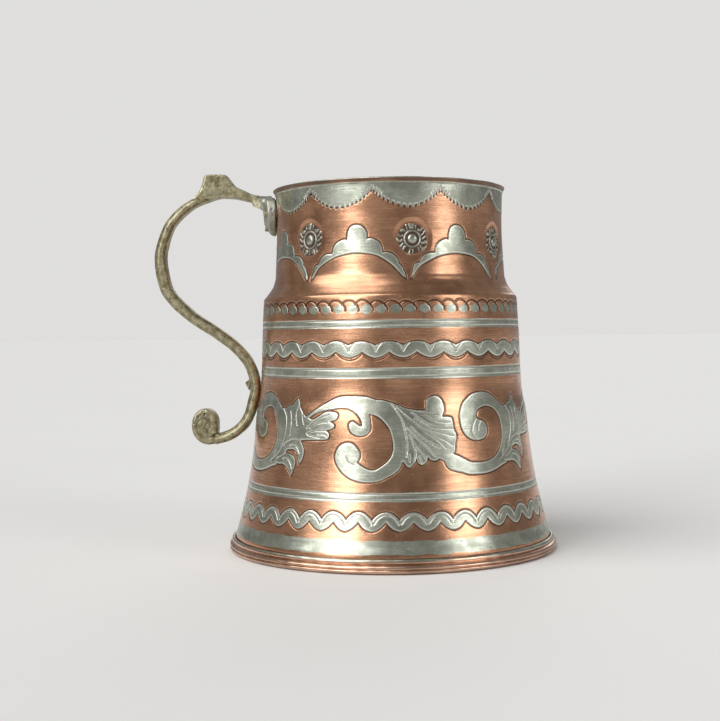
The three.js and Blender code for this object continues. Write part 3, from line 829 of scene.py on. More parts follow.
@dataclass
class Wall:
    """The raised sheet, as seven rings that meet edge to edge, and its rim."""

    stations: Line = (
        (1.1, 61.75), (5.1, 61.7), (9.58, 60.57), (14.05, 59.42), (18.53, 58.3), (23.03, 57.29),
        (27.56, 56.37), (32.1, 55.54), (36.66, 54.8), (41.24, 54.19), (45.83, 53.73),
        (50.43, 53.28), (55, 52.65), (59.52, 51.72), (64.11, 51.21), (68.72, 50.98),
        (73.34, 50.78), (77.95, 50.61), (82.57, 50.46), (87.18, 50.25), (91.79, 49.98),
        (96.4, 49.7), (97.3, 49.55), (98.55, 48.57), (99.81, 47.62), (101.1, 46.7),
        (102.47, 45.9), (103.97, 45.41), (105.5, 45), (110.86, 44.72), (116.23, 44.43),
        (121.59, 44.23), (126.96, 44.21), (132.33, 44.35), (137.7, 44.5),
    )
    sheet: float = 1.2
    columns: int = 1200
    inner_columns: int = 240
    rows: int = 76
    inner_rows: int = 16
    rings: tuple[tuple[str, float, float], ...] = (
        ("wall_foot", 1.1, 22.5), ("wall_skirt", 22.5, 41.2), ("wall_frieze", 41.2, 60.0),
        ("wall_belly", 60.0, 80.0), ("wall_shoulder", 80.0, 100.0), ("wall_neck", 100.0, 119.0),
        ("wall_throat", 119.0, 137.7),
    )
    rim_height: float = 140.0
    rim_radius: float = 45.4
    rim_columns: int = 900
    dents: Layers = ((0.08, 71, 26.0), (0.03, 72, 8.0))
    upright_dents: Layers = ((0.022, 74, 7.0),)
    upright_share: float = 0.22
    inner_dents: Layers = ((0.06, 73, 9.0),)
    rim_dents: Layers = ((0.05, 81, 12.0), (0.03, 82, 3.0))
    ornament: Ornament = field(default_factory=Ornament)

    def build(self) -> list[bpy.types.Object]:
        """Makes and dresses the rings and the rim.

        Returns:
            The pieces.
        """
        copper = SheetFinish(Metal.WALL).build()
        made = [*(self.ring(*ring) for ring in self.rings), self.rim()]
        return [dress(piece, copper, "tankard_body") for piece in made]

    def radius(self, height: np.ndarray) -> np.ndarray:
        """Outer radius of the plain wall."""
        return through(self.stations, height)

    def levels(self, low: float, high: float, count: int) -> np.ndarray:
        """Heights that are evenly spread along the wall, so that the shoulder is as fine.

        Args:
            low: height of the lower edge.
            high: height of the upper edge.
            count: how many heights.

        Returns:
            The heights.
        """
        dense = np.linspace(low, high, 400)
        run = np.hypot(np.diff(dense), np.diff(self.radius(dense)))
        along = np.concatenate([[0.0], np.cumsum(run)])
        return np.interp(np.linspace(0.0, along[-1], count), along, dense)

    def places(
        self, low: float, high: float, columns: int, rows: int
    ) -> tuple[np.ndarray, np.ndarray]:
        """Angle and height of every place of a grid on the wall.

        Args:
            low: height of its lower edge.
            high: height of its upper edge.
            columns: places round the axis.
            rows: steps from edge to edge.

        Returns:
            The angles and the heights.
        """
        angle, height = spread(columns, self.levels(low, high, rows + 1))
        return angle.ravel(), height.ravel()

    def stood_out(self, angle: np.ndarray, height: np.ndarray, lift: np.ndarray) -> np.ndarray:
        """Points that stand out square from the plain wall by lift.

        Args:
            angle: degrees round the axis.
            height: heights in millimetres.
            lift: how far each point stands out; inwards below 0.

        Returns:
            The points in metres.
        """
        step = 0.25
        slope = (self.radius(height + step) - self.radius(height - step)) / (2 * step)
        length = np.sqrt(1.0 + slope**2)
        out, up = 1.0 / length, -slope / length
        return turned(self.radius(height) + out * lift, angle, height + up * lift)

    def ring(self, name: str, low: float, high: float) -> bpy.types.Object:
        """One closed ring of the sheet, its outside carrying the ornament.

        Args:
            name: the piece's name.
            low: height of its lower edge.
            high: height of its upper edge.

        Returns:
            The new object.
        """
        angle, height = self.places(low, high, self.columns, self.rows)
        marks = self.ornament.at(np.mod(angle + 180.0, 360.0) - 180.0, height)
        dents = layered(angle, height, self.dents)
        dents = dents + layered(angle, height * self.upright_share, self.upright_dents)
        lift = marks.raised + dents * smoothstep(height, 6.0, 12.0)
        outer = self.stood_out(angle, height, lift)
        angle, height = self.places(low, high, self.inner_columns, self.inner_rows)
        worked = self.sheet - layered(angle, height, self.inner_dents)
        inner = self.stood_out(angle, height, -worked)
        values = {
            key: np.concatenate([getattr(marks, key), np.full(len(inner), lining)])
            for key, lining in (("tin", AWAY), ("line", -AWAY), ("cut", AWAY), ("oxide_and_painted_reflection", 0.0))
        }
        values["inside"] = np.repeat((0.0, 1.0), (len(outer), len(inner)))
        return make_piece(name, np.concatenate([outer, inner]), self.ring_faces(), values)

    def ring_faces(self) -> list[np.ndarray]:
        """Faces of a ring: outside, inside, and the caps that join them below and above.

        Returns:
            Arrays of corners.
        """
        first = (self.rows + 1) * self.columns
        every = self.columns // self.inner_columns
        k = np.arange(self.inner_columns)
        faces = [
            grid_faces(self.rows + 1, self.columns),
            grid_faces(self.inner_rows + 1, self.inner_columns, first, flip=True),
        ]
        for top in (False, True):
            start = self.rows * self.columns * top
            inside = first + self.inner_rows * self.inner_columns * top
            edge = start + (k[:, None] * every + np.arange(every + 1)[None, :]) % self.columns
            back = inside + np.stack([(k + 1) % self.inner_columns, k], -1)
            cap = np.concatenate([edge, back], 1)
            faces.append(cap if top else cap[:, ::-1])
        return faces

    def rim(self) -> bpy.types.Object:
        """The thickened, out-turned lip, worn round on its top.

        Returns:
            The new object.
        """
        top, (low, neck) = self.rim_height, self.stations[-1]
        back, lip = neck - self.sheet, self.rim_radius
        profile = spline(
            (
                (neck, low), (neck, low), (neck + 0.12, low + 0.12), (neck + 0.3, low + 0.35),
                (neck + 0.36, low + 0.9), (neck + 0.55, top - 0.9), (lip, top - 0.5),
                (lip - 0.12, top - 0.15), (lip - 0.5, top), (back + 0.6, top),
                (back + 0.15, top - 0.15), (back, top - 0.5), (back, low), (back, low),
            ),
            closed=True, steps=4,
        )
        a, h = spread(self.rim_columns, profile[:, 1])
        shift = smoothstep(h, low + 0.4, top - 0.6) * layered(a, h, self.rim_dents)
        down = top - h
        rubbed = unevenness(a, h, 83, 6.0)
        # Down the lip's face, below its tinned top, the copper is left untinned and darkened
        # through the oxide attribute: a painted dark reflection.
        face = smoothstep(down, 0.3, 0.48) * (1.0 - smoothstep(down - 0.1 * rubbed, 1.5, 1.85))
        return lathe("rim_lip", profile, self.rim_columns, shift, {
            "tin": 0.45 - 0.85 * face + 0.12 * rubbed,
            "line": np.full_like(h, -AWAY),
            "cut": np.full_like(h, AWAY),
            "oxide_and_painted_reflection": face * (0.84 + 0.12 * rubbed),
            "inside": np.broadcast_to((profile[:, :1] < neck - 0.6) * 1.0, h.shape),
        })


@dataclass
class Base:
    """The base disc, its edge folded up round the foot of the wall."""

    radius: float = 64.2
    sheet: float = 1.1
    fold_height: float = 5.1
    inner_fold: float = 62.0
    scribed_circle: float = 38.0
    dimple: float = 0.25
    fold_dents: Layers = ((0.07, 91, 14.0), (0.05, 92, 3.5))
    floor_dents: Layers = ((0.06, 93, 8.0),)
    columns: int = 480
    # Lighter than the wall's copper: worn tin over copper, with a painted highlight on the fold as
    # well.
    bright: Colour = (0.72, 0.485, 0.36, 1.0)
    dull: Colour = (0.45, 0.29, 0.205, 1.0)

    def build(self) -> list[bpy.types.Object]:
        """Makes and dresses the disc with its fold, as one sheet.

        Returns:
            The piece.
        """
        profile = self.profile()
        a, h = spread(self.columns, profile[:, 1])
        out = np.repeat(profile[:, :1], self.columns, 1)
        under = (h < 0.3) & (out < self.radius - 3.0)
        over = (h > self.sheet - 0.2) & (out < self.radius - 2.0) & (h < 1.6)
        fold = smoothstep(out, self.inner_fold + 0.2, self.inner_fold + 0.9)
        shift = fold * smoothstep(h, 0.0, 0.8) * layered(a, h, self.fold_dents)
        struck = layered(a, out, self.floor_dents) + 0.03 * np.cos(out * 1.3)
        struck = struck * smoothstep(out, 4.0, 12.0)
        struck = struck * smoothstep(self.radius - 3.0 - out, 0.0, 3.0)
        sunk = np.abs(struck) + self.dimple * (1.0 - smoothstep(out, 0.0, 1.6))
        shift = shift + np.where(over, struck, 0.0) - np.where(under, sunk, 0.0)
        lip = h - 4.6 + 0.3 * unevenness(a, h, 94, 12.0) + 0.2 * unevenness(a, h, 95, 4.0)
        beside = np.where(out > self.inner_fold - 0.5, lip, -AWAY)
        scribed = np.minimum(np.abs(out - self.scribed_circle) - 0.4, out - 1.2)
        made = lathe("base_fold", profile, self.columns, shift, {
            "tin": np.where(over, AWAY, beside),
            "line": np.full_like(h, -AWAY),
            "cut": np.where(under, scribed, AWAY),
            "oxide_and_painted_reflection": np.zeros_like(h),
            "inside": over * 1.0,
        })
        # The wall's copper finish in the lighter colours above, which carry a painted highlight on
        # the fold.
        worn = SheetFinish(Metal.BASE, bright=self.bright, dull=self.dull).build()
        return [dress(made, worn, "base_disc")]

    def profile(self) -> np.ndarray:
        """Its section: out along the underside, up and over the fold, and in along the floor.

        Returns:
            (radius, height) rows.
        """
        r, fold, top = self.radius, self.inner_fold, self.fold_height
        under = ((out, 0) for out in (0, 0.7, 1.2, 1.7, 6, 14, 22, 30, 37, 38, 39, 46, 54))
        over = ((out, self.sheet) for out in (60, 50, 40, 30, 20, 10, 0))
        section = spline(
            (
                *under, (r - 3, 0), (r - 1.4, 0.02), (r - 0.55, 0.25), (r - 0.08, 0.85),
                (r - 0.1, 1.3), (r - 0.5, 1.6), (r - 0.5, 1.6), (r - 0.08, 1.95), (r - 0.02, 2.35),
                (r - 0.3, 2.85), (r - 0.95, 3.2), (r - 1.25, 3.4), (r - 1.25, 3.4),
                (r - 1.0, 3.75), (r - 0.95, 4.2), (r - 1.15, 4.8), (r - 1.5, 5.05), (r - 1.9, top),
                (fold + 0.15, 4.95), (fold, 4.7), (fold, 3.2), (fold, 3.2), (r - 0.9, 2.5),
                (r - 0.9, 1.9), (r - 1.0, self.sheet), (r - 1.0, self.sheet), *over,
            ),
            closed=False, steps=4,
        )
        section = np.maximum(section, 0.0)
        section[0] = (0.0, 0.0)
        return section


Shell = tuple[np.ndarray, list[np.ndarray]]  # the points and the faces of closed shells


def joined(shells: Sequence[Shell]) -> Shell:
    """Several closed shells as one set of points and faces.

    Args:
        shells: the shells.

    Returns:
        All their points, and faces that count through them.
    """
    points, faces, first = [], [], 0
    for where, groups in shells:
        points.append(where)
        faces.extend(np.asarray(group) + first for group in groups)
        first += len(where)
    return np.concatenate(points), faces


def stacked(rings: np.ndarray) -> Shell:
    """A closed shell through rings of as many points each, with flat ends.

    Args:
        rings: the rings, one after the other.

    Returns:
        The shell.
    """
    count, sides = rings.shape[:2]
    last = (count - 1) * sides + np.arange(sides)
    ends = np.stack([np.arange(sides)[::-1], last])
    return rings.reshape(-1, 3), [grid_faces(count, sides), ends]


def bezier(corners: Line, count: int) -> np.ndarray:
    """Points of a cubic curve from its four corners.

    Args:
        corners: its four corners.
        count: how many points it gets.

    Returns:
        The points, one row each.
    """
    t = np.linspace(0.0, 1.0, count)[:, None]
    a, b, c, d = np.asarray(corners, float)
    return (1 - t) ** 3 * a + 3 * (1 - t) ** 2 * t * b + 3 * (1 - t) * t**2 * c + t**3 * d


def fetched(items: bpy.types.bpy_prop_collection, key: str, width: int, kind: type) -> np.ndarray:
    """One property of all vertices, edges or corners of a mesh, with width values a row.

    Args:
        items: the vertices, edges or corners.
        key: the property.
        width: how many values it has.
        kind: the type of a value.

    Returns:
        The values, one row for each item.
    """
    values = np.empty(len(items) * width, kind)
    items.foreach_get(key, values)
    return values.reshape(-1, width)


def softened(values: np.ndarray, links: np.ndarray, times: int) -> np.ndarray:
    """Draws each value towards the mean of its neighbours.

    Args:
        values: one row for each point.
        links: pairs of neighbouring points.
        times: how often it is done.

    Returns:
        The softened values.
    """
    count = np.bincount(links.ravel(), minlength=len(values))[:, None]
    for _ in range(times):
        total = np.zeros_like(values)
        np.add.at(total, links[:, 0], values[links[:, 1]])
        np.add.at(total, links[:, 1], values[links[:, 0]])
        values = 0.4 * values + 0.6 * total / count
    return values


def lumps(
    where: np.ndarray, scale: float, shift: tuple[float, float, float] = (0, 0, 0)
) -> np.ndarray:
    """Smooth noise at places in a casting, finer for a greater scale."""
    return np.array([noise.noise(Vector(place) * scale + Vector(shift)) for place in where])


@dataclass
class Handle:
    """The brass casting: bracket, thumb rest, grip, tail with its scroll, and spade pad."""

    wall: Wall
    path: Line = (
        (-46.33, 135.9), (-49.73, 136.4), (-56.09, 138.1), (-63.35, 139.5), (-71.1, 138.3),
        (-79.5, 134.4), (-86.2, 127.8), (-89.86, 119.05), (-90.54, 112), (-88.65, 102.77),
        (-84.5, 96.69), (-77.45, 90.37), (-68.94, 84.78), (-60.9, 78.47), (-55.6, 71.42),
        (-53.59, 63.4), (-54.6, 57.32), (-56.1, 52.3), (-58.82, 47.9), (-63.44, 44.4),
        (-69.97, 42.19),
    )
    scroll: Line = (
        (-70.24, 42.68), (-72.07, 42.31), (-73.83, 42.57), (-75.34, 43.39), (-76.5, 44.63),
        (-77.26, 46.15), (-77.6, 47.79), (-77.53, 49.41), (-77.07, 50.87), (-76.31, 52.08),
        (-75.31, 52.94), (-74.15, 53.39), (-72.96, 53.4), (-71.82, 52.97), (-70.85, 52.17),
        (-70.14, 51.02), (-69.77, 49.36), (-69.72, 47.56), (-69.84, 46), (-70.17, 44.88),
    )
    path_thickness: Line = ((0, 5.2), (0.12, 2.9), (0.28, 3.72), (0.45, 4.7), (0.72, 4), (1, 4))
    scroll_thickness: Line = ((0, 4), (0.5, 2.4), (1, 2.4))
    bar_width: float = 8.0
    outer_chamfer: float = 1.7
    inner_chamfer: float = 1.2
    eye: tuple[float, float] = (-73.3, 48.0)
    eye_radius: float = 4.6
    eye_length: float = 7.7
    thumb_out: float = -71.94
    thumb_top: float = 147.0
    thumb_root: float = 139.5
    thumb_width: float = 8.6
    pad_top: float = 137.4
    pad_tip: float = 122.4
    pad_width: float = 15.0
    pad_thickness: tuple[float, float] = (3.3, 4.9)
    root_start: float = 45.6
    root_length: float = 8.2
    root_height: float = 135.3
    root_rise: float = 1.6
    root_deep: tuple[float, float] = (2.3, 3.6)
    root_wide: tuple[float, float] = (3.7, 1.1)
    seat_gap: float = 0.3
    dent_depth: float = 0.16
    ripple_depth: float = 0.05
    pit_depth: float = 0.2
    cut_depth: float = 0.34
    voxel: float = 0.28

    def build(self) -> list[bpy.types.Object]:
        """Joins the parts of the casting, rounds, works and dresses them as one piece.

        Returns:
            The piece.
        """
        points, faces = joined((
            self.bar(self.path, self.path_thickness, 8),
            self.bar(self.scroll, self.scroll_thickness, 4),
            self.boss(), self.thumb_rest(), self.pad(), self.root(),
        ))
        rough = make_piece("handle_rough", points * MM, faces)
        remesh = rough.modifiers.new("skin", "REMESH")
        remesh.mode = "VOXEL"
        remesh.voxel_size = self.voxel * MM
        skin = rough.evaluated_get(bpy.context.evaluated_depsgraph_get()).to_mesh()
        where = fetched(skin.vertices, "co", 3, np.float32) / MM
        links = fetched(skin.edges, "vertices", 2, np.int32)
        quads = fetched(skin.loops, "vertex_index", 1, np.int32).reshape(-1, 4)
        bpy.data.objects.remove(rough)
        where, values = self.worked(where, links, quads)
        made = make_piece("handle_casting", where * MM, [quads], values, crease=180.0)
        return [dress(made, BrassFinish().build(), "handle")]

    def bar(self, line: Line, thickness: Line, steps: int) -> Shell:
        """A bar of chamfered section along a line in the XZ plane.

        Args:
            line: its centre line.
            thickness: its thickness along the line, as (share, value) pairs.
            steps: sections between two points of the line.

        Returns:
            The closed bar.
        """
        centre = spline(line, closed=False, steps=steps)
        run = np.gradient(centre, axis=0)
        run /= np.linalg.norm(run, axis=1)[:, None]
        out = np.stack([run[:, 1], -run[:, 0]], -1)
        half = through(thickness, np.linspace(0.0, 1.0, len(centre))) / 2
        outer = np.minimum(self.outer_chamfer, half * 0.8)
        inner = np.minimum(self.inner_chamfer, half * 0.6)
        wide = np.full_like(half, self.bar_width / 2)
        depth = [half, half - outer, inner - half, -half, -half, inner - half, half - outer, half]
        side = [wide - outer, wide, wide, wide - inner, inner - wide, -wide, -wide, outer - wide]
        rings = np.stack(
            [np.stack([centre[:, 0] + out[:, 0] * n, y, centre[:, 1] + out[:, 1] * n], -1)
             for n, y in zip(depth, side)], 1,
        )
        return stacked(rings)

    def slab(self, outline: np.ndarray, width: float, bevel: float) -> Shell:
        """An outline in the XZ plane carried across the bar, its sides softened.

        Args:
            outline: its points, one row each.
            width: how wide the slab is.
            bevel: how far its sides are drawn in at the edge.

        Returns:
            The closed slab.
        """
        middle = outline.mean(0)
        reach = np.abs(outline - middle).max()
        full = 0.5 - bevel / width
        rings = []
        for y, inset in ((-0.5, bevel), (-full, 0.0), (full, 0.0), (0.5, bevel)):
            flat = middle + (outline - middle) * (1.0 - inset / reach)
            rings.append(np.stack([flat[:, 0], np.full(len(flat), y * width), flat[:, 1]], -1))
        return stacked(np.array(rings))

    def boss(self) -> Shell:
        """The eye inside the turn of the scroll.

        Returns:
            The closed shell.
        """
        turn = np.linspace(0.0, 2 * math.pi, 48, endpoint=False)
        ring = np.stack([np.cos(turn), np.sin(turn)], -1) * self.eye_radius + np.array(self.eye)
        return self.slab(ring, self.eye_length, 0.35)

    def thumb_rest(self) -> Shell:
        """The thumb rest over the top of the arch, its crown bevelled.

        Returns:
            The closed shell.
        """
        out, top, root = self.thumb_out, self.thumb_top, self.thumb_root
        outline = spline(
            (
                (out - 6.4, root - 2.6), (out - 6.4, root - 2.6), (out - 3.9, root - 0.5),
                (out - 2.4, root + 1.4), (out - 1.3, root + 3.7), (out - 0.5, top - 0.1),
                (out - 0.5, top - 0.1), (out + 4, top), (out + 7.9, top - 0.3),
                (out + 9.2, top - 1.5), (out + 10.6, top - 3.3), (out + 12, top - 4.9),
                (out + 14.6, top - 6.3), (out + 19, root - 1.1), (out + 19, root - 1.1),
                (out + 16, root - 2), (out + 6.72, root - 1.6), (out + 1, root - 2.2),
            ),
            closed=True, steps=4,
        )
        return self.slab(outline, self.thumb_width, 0.75)

    def half_width(self, height: np.ndarray) -> np.ndarray:
        """Half width of the spade at a height.

        Args:
            height: heights in millimetres.

        Returns:
            The half widths.
        """
        half, tall = self.pad_width / 2, self.pad_top - self.pad_tip
        tip, top = self.pad_tip, self.pad_top
        widest = (half, tip + tall * 0.62)
        low = bezier(
            ((0, tip), (half * 0.3, tip + tall * 0.16), (half, tip + tall * 0.34), widest), 40
        )
        high = bezier(
            (widest, (half, tip + tall * 0.8), (half * 0.8, top - tall * 0.08), (half * 0.55, top)),
            40,
        )
        edge = np.concatenate([low, high[1:]])
        return np.maximum(np.interp(height, edge[:, 1], edge[:, 0]), 0.15)

    def face_radius(self, across: np.ndarray, height: np.ndarray) -> np.ndarray:
        """Radius of the pad's outer face: crowned, with a middle rib and two flutes a side.

        Args:
            across: millimetres from the middle of the pad.
            height: heights in millimetres.

        Returns:
            The radii.
        """
        share = np.clip((height - self.pad_tip) / (self.pad_top - self.pad_tip), 0.0, 1.0)
        low, high = self.pad_thickness
        thick = low + (high - low) * np.sqrt(share)
        side = np.clip(np.abs(across) / self.half_width(height), 0.0, 1.0)
        thick = thick * (1.0 - 0.3 * side**4) * np.clip(share / 0.3, 0.004, 1.0) ** 0.25
        rib = 0.5 * (1.0 - smoothstep(np.abs(across), 0.7, 1.5)) * smoothstep(share, 0.08, 0.25)
        flute = np.exp(-(((side - 0.48) / 0.1) ** 2)) + np.exp(-(((side - 0.84) / 0.08) ** 2))
        return self.wall.radius(height) + self.seat_gap + thick + rib - 0.5 * flute * (side > 0.2)

    def pad(self) -> Shell:
        """The spade-shaped pad, curved to the neck.

        Returns:
            The closed shell.
        """
        shares = np.linspace(-1.0, 1.0, 41)
        rings = []
        for height in np.linspace(self.pad_tip, self.pad_top, 61):
            level = np.full_like(shares, height)
            across = shares * self.half_width(level)
            face = np.sqrt(np.maximum(self.face_radius(across, level) ** 2 - across**2, 1.0))
            seat = self.wall.radius(level) + self.seat_gap
            back = np.sqrt(seat**2 - across**2)
            rings.append(np.concatenate([
                np.stack([-face, across, level], -1), np.stack([-back, across, level], -1)[::-1],
            ]))
        return stacked(np.array(rings))

    def root(self) -> Shell:
        """The root of the bracket, which widens into the pad.

        Returns:
            The closed shell.
        """
        share = np.linspace(0.0, 1.0, 14)
        out = self.root_start + self.root_length * share
        deep = self.root_deep[0] + self.root_deep[1] * (1.0 - share) ** 2.2
        wide = self.root_wide[0] + self.root_wide[1] * (1.0 - share) ** 2
        centre = self.root_height + self.root_rise * share**1.3
        low, high = centre - deep * 1.05, np.minimum(centre + 1.45, self.pad_top)
        rings = np.stack(
            [np.stack([-out, wide * y, (high if up else low) - down], -1)
             for y, up, down in (
                 (-0.7, True, 0.0), (0.7, True, 0.0), (1.0, True, 0.6),
                 (0.75, False, 0.0), (-0.75, False, 0.0), (-1.0, True, 0.6),
             )], 1,
        )
        return stacked(rings[:, ::-1])

    def worked(
        self, where: np.ndarray, links: np.ndarray, quads: np.ndarray
    ) -> tuple[np.ndarray, dict[str, np.ndarray]]:
        """Softens the skin of the casting and gives it pits, dents and engraving.

        Args:
            where: its points in millimetres.
            links: pairs of neighbouring points.
            quads: its faces.

        Returns:
            The worked points, and the values that its finish reads.
        """
        where = softened(where, links, 7)
        a, b, c, d = (where[quads[:, k]] for k in range(4))
        face = np.cross(c - a, d - b)
        normal = np.zeros_like(where)
        for k in range(4):
            np.add.at(normal, quads[:, k], face)
        normal /= np.linalg.norm(normal, axis=1)[:, None] + 1e-12
        bulge = np.einsum("ij,ij->i", where - softened(where, links, 9), normal)
        edge = smoothstep(bulge, 0.02, 0.16)
        # Hollows found from the skin's curvature; the finish makes them darker.
        hollow = smoothstep(-bulge, 0.02, 0.14)

        fine = lumps(where, 0.62, (9, 3, 1))
        pits = smoothstep(lumps(where, 1.15, (2, 7, 5)), 0.46, 0.68)
        swirl = self.swirl(where, normal)
        move = self.dent_depth * lumps(where, 0.16) + self.ripple_depth * fine
        move = move - self.pit_depth * pits - self.cut_depth * swirl
        where = where + normal * (move * (1.0 - self.near_wall(where)))[:, None]

        out = -where[:, 0]
        high = smoothstep(where[:, 2], 120.0, 124.0)
        pad = high * (1.0 - smoothstep(out + 1.2 * fine, 50.3, 51.3))
        patch = high * smoothstep(out + fine, 50.0, 50.8)
        patch = patch * (1.0 - smoothstep(out + 1.5 * fine, 52.8, 54.4))
        return where, {
            "edge": edge * (1.0 - pits),
            # Dark with grime in the pits and the swirl cut; the hollows are simply darker.
            "grime_and_hollow_dark": np.clip(pits * 0.8 + swirl + hollow * 0.8, 0.0, 1.0),
            "tinned": pad,
            "bare": patch * (1.0 - pad),
        }

    def near_wall(self, where: np.ndarray) -> np.ndarray:
        """1 on the faces that lie against the vessel, 0 elsewhere."""
        gap = np.hypot(where[:, 0], where[:, 1]) - self.wall.radius(where[:, 2])
        return 1.0 - smoothstep(gap, 0.5, 1.1)

    def swirl(self, where: np.ndarray, normal: np.ndarray) -> np.ndarray:
        """The swirl cut into both sides of the scroll, 1 in the middle of its line.

        Args:
            where: points of the skin in millimetres.
            normal: its outward directions.

        Returns:
            How deep each point lies in the swirl, 0 to 1.
        """
        x, z = where[:, 0] - self.eye[0], where[:, 2] - self.eye[1]
        out, turn = np.hypot(x, z), np.arctan2(z, x)
        grown = np.mod(turn + 2.4, 2 * math.pi) / (2 * math.pi)
        arm = np.minimum(np.abs(out - 0.9 - 2.9 * grown), 0.6 + np.abs(out - 3.4))
        line = 1.0 - smoothstep(arm, 0.1, 0.5)
        scratch = 1.0 - smoothstep(np.abs(x - 0.55 * z), 0.1, 0.4)
        line = np.maximum(line * 0.55, scratch * 0.7 * (out < 1.9))
        nicks = smoothstep(np.sin(turn * 9.0 + 0.8 * np.sin(turn * 3)), 0.72, 0.95)
        ring = nicks * smoothstep(out, 3.6, 4.4) * smoothstep(turn, 1.0, 1.4)
        side = smoothstep(np.abs(normal[:, 1]), 0.6, 0.9) * (out < 5.2)
        return np.clip(line * (out < 4.0) + ring, 0.0, 1.0) * side


@dataclass(frozen=True)
class Rivet:
    """A copper rivet through the wall: hammered head inside, shank, and its outer end."""

    name: str
    node: str
    height: float
    angle: float
    length: float
    pointed: bool = False
    shank: float = 3.0
    head_radius: float = 3.1
    head_height: float = 1.4
    sheet: float = 1.5
    point_radius: float = 2.3
    point_length: float = 1.9
    point_rise: float = 0.7
    facet_depth: float = 0.09
    facet_size: float = 60.0
    first_seed: int = 41
    columns: int = 48

    def build(self, wall: Wall) -> bpy.types.Object:
        """Makes the rivet, set square to the wall.

        Args:
            wall: the wall that it goes through.

        Returns:
            The new object.
        """
        profile = self.profile()
        a, up = spread(self.columns, profile[:, 1])
        seed = self.first_seed + int(self.height + self.angle)
        facets = self.facet_depth * unevenness(a, up, seed, self.facet_size)
        free = smoothstep(-up, 0.2, 0.6) + smoothstep(up, self.length + 0.1, self.length + 0.5)
        moved = facets * free * np.minimum(1.0, profile[:, :1] / 0.8)
        made = lathe(self.name, profile, self.columns, moved)
        if self.pointed:
            for vertex in made.data.vertices:
                beyond = vertex.co.z / MM - self.length
                if beyond > 0:
                    vertex.co.x += self.point_rise * beyond / self.point_length * MM
        made.data.transform(self.place(wall))
        return made

    def profile(self) -> np.ndarray:
        """Its section, from the middle of the head to the outer end.

        Returns:
            (radius, height) rows.
        """
        h, r, s, end = self.head_height, self.head_radius, self.shank / 2, self.length
        head = (
            (0, -h), (0.7, -h * 0.98), (1.5, -h * 0.88), (2.3, -h * 0.62), (2.85, -h * 0.3),
            (r, -0.08), (r, -0.08), (r - 0.15, 0), (r - 0.15, 0), (s, 0), (s, 0), (s, end * 0.5),
        )
        if self.pointed:
            p, n = self.point_radius, self.point_length
            tip = (
                (s, end), (s, end), (p - 0.1, end), (p, end + 0.15), (p * 0.86, end + n * 0.3),
                (p * 0.5, end + n * 0.62), (p * 0.2, end + n * 0.92), (0, end + n),
            )
        else:
            end = end + 0.05
            tip = ((s, end - 0.25), (s - 0.12, end - 0.06), (s - 0.5, end), (0.5, end), (0, end))
        return np.maximum(spline(head + tip, closed=False, steps=4), (0.0, -FAR))

    def place(self, wall: Wall) -> Matrix:
        """Where the rivet stands, with its head against the inside of the wall.

        Args:
            wall: the wall that it goes through.

        Returns:
            Its place and turn.
        """
        step = 3.0
        low, radius, high = wall.radius(self.height + np.array([-step, 0.0, step]))
        lean = math.atan2(high - low, 2 * step)
        return (
            Matrix.Rotation(math.radians(self.angle), 4, "Z")
            @ Matrix.Translation(Vector((-(radius - self.sheet), 0, self.height)) * MM)
            @ Matrix.Rotation(-lean, 4, "Y") @ Matrix.Rotation(math.radians(-90), 4, "Y")
        )


@dataclass(frozen=True)
class Rivets:
    """The rivets that hold the handle: three through its pad and one at the belly."""

    wall: Wall
    rivets: tuple[Rivet, ...] = (
        Rivet("rivet_pair_front", "rivet_upper_front", 131.0, 5.70, 6.31),
        Rivet("rivet_pair_back", "rivet_upper_back", 131.0, -5.70, 6.31),
        Rivet("rivet_tip", "rivet_upper_tip", 126.0, 0.0, 6.2),
        Rivet("rivet_belly", "rivet_lower", 63.4, 0.0, 6.1, pointed=True),
    )

    def build(self) -> list[bpy.types.Object]:
        """Makes and dresses the rivets.

        Returns:
            The pieces.
        """
        hammered = RivetFinish().build()
        return [
            dress(rivet.build(self.wall), hammered, rivet.node)
            for rivet in self.rivets
        ]


class Socket:
    """A shader value that sums and products can be written with."""

    def __init__(self, nodes: "Nodes", made: bpy.types.Node, out: str | int) -> None:
        """Holds one output of a node.

        Args:
            nodes: the tree that the node belongs to.
            made: the node.
            out: name or number of the output.
        """
        self.nodes = nodes
        self.made = made
        self.out = out

    def output(self) -> bpy.types.NodeSocket:
        """The output that links start from."""
        return self.made.outputs[self.out]

    def _math(self, operation: str, *values: "Socket | float") -> "Socket":
        """One Math node."""
        return self.nodes.node("ShaderNodeMath", {"operation": operation}, dict(enumerate(values)))

    def __add__(self, other: "Socket | float") -> "Socket":
        """self + other."""
        return self._math("ADD", self, other)

    def __radd__(self, other: float) -> "Socket":
        """other + self."""
        return self._math("ADD", other, self)

    def __sub__(self, other: "Socket | float") -> "Socket":
        """self - other."""
        return self._math("SUBTRACT", self, other)

    def __rsub__(self, other: float) -> "Socket":
        """other - self."""
        return self._math("SUBTRACT", other, self)

    def __mul__(self, other: "Socket | float") -> "Socket":
        """self times other."""
        return self._math("MULTIPLY", self, other)

    def __rmul__(self, other: float) -> "Socket":
        """other times self."""
        return self._math("MULTIPLY", other, self)

    def step(self, low: float, high: float) -> "Socket":
        """Rises smoothly from 0 at low to 1 at high.

        Args:
            low: where it starts to rise.
            high: where it is up.

        Returns:
            The risen value.
        """
        return self.nodes.node(
            "ShaderNodeMapRange", {"interpolation_type": "SMOOTHSTEP"},
            {"Value": self, "From Min": low, "From Max": high},
        )

    def most(self, other: "Socket | float") -> "Socket":
        """The greater of the two."""
        return self._math("MAXIMUM", self, other)


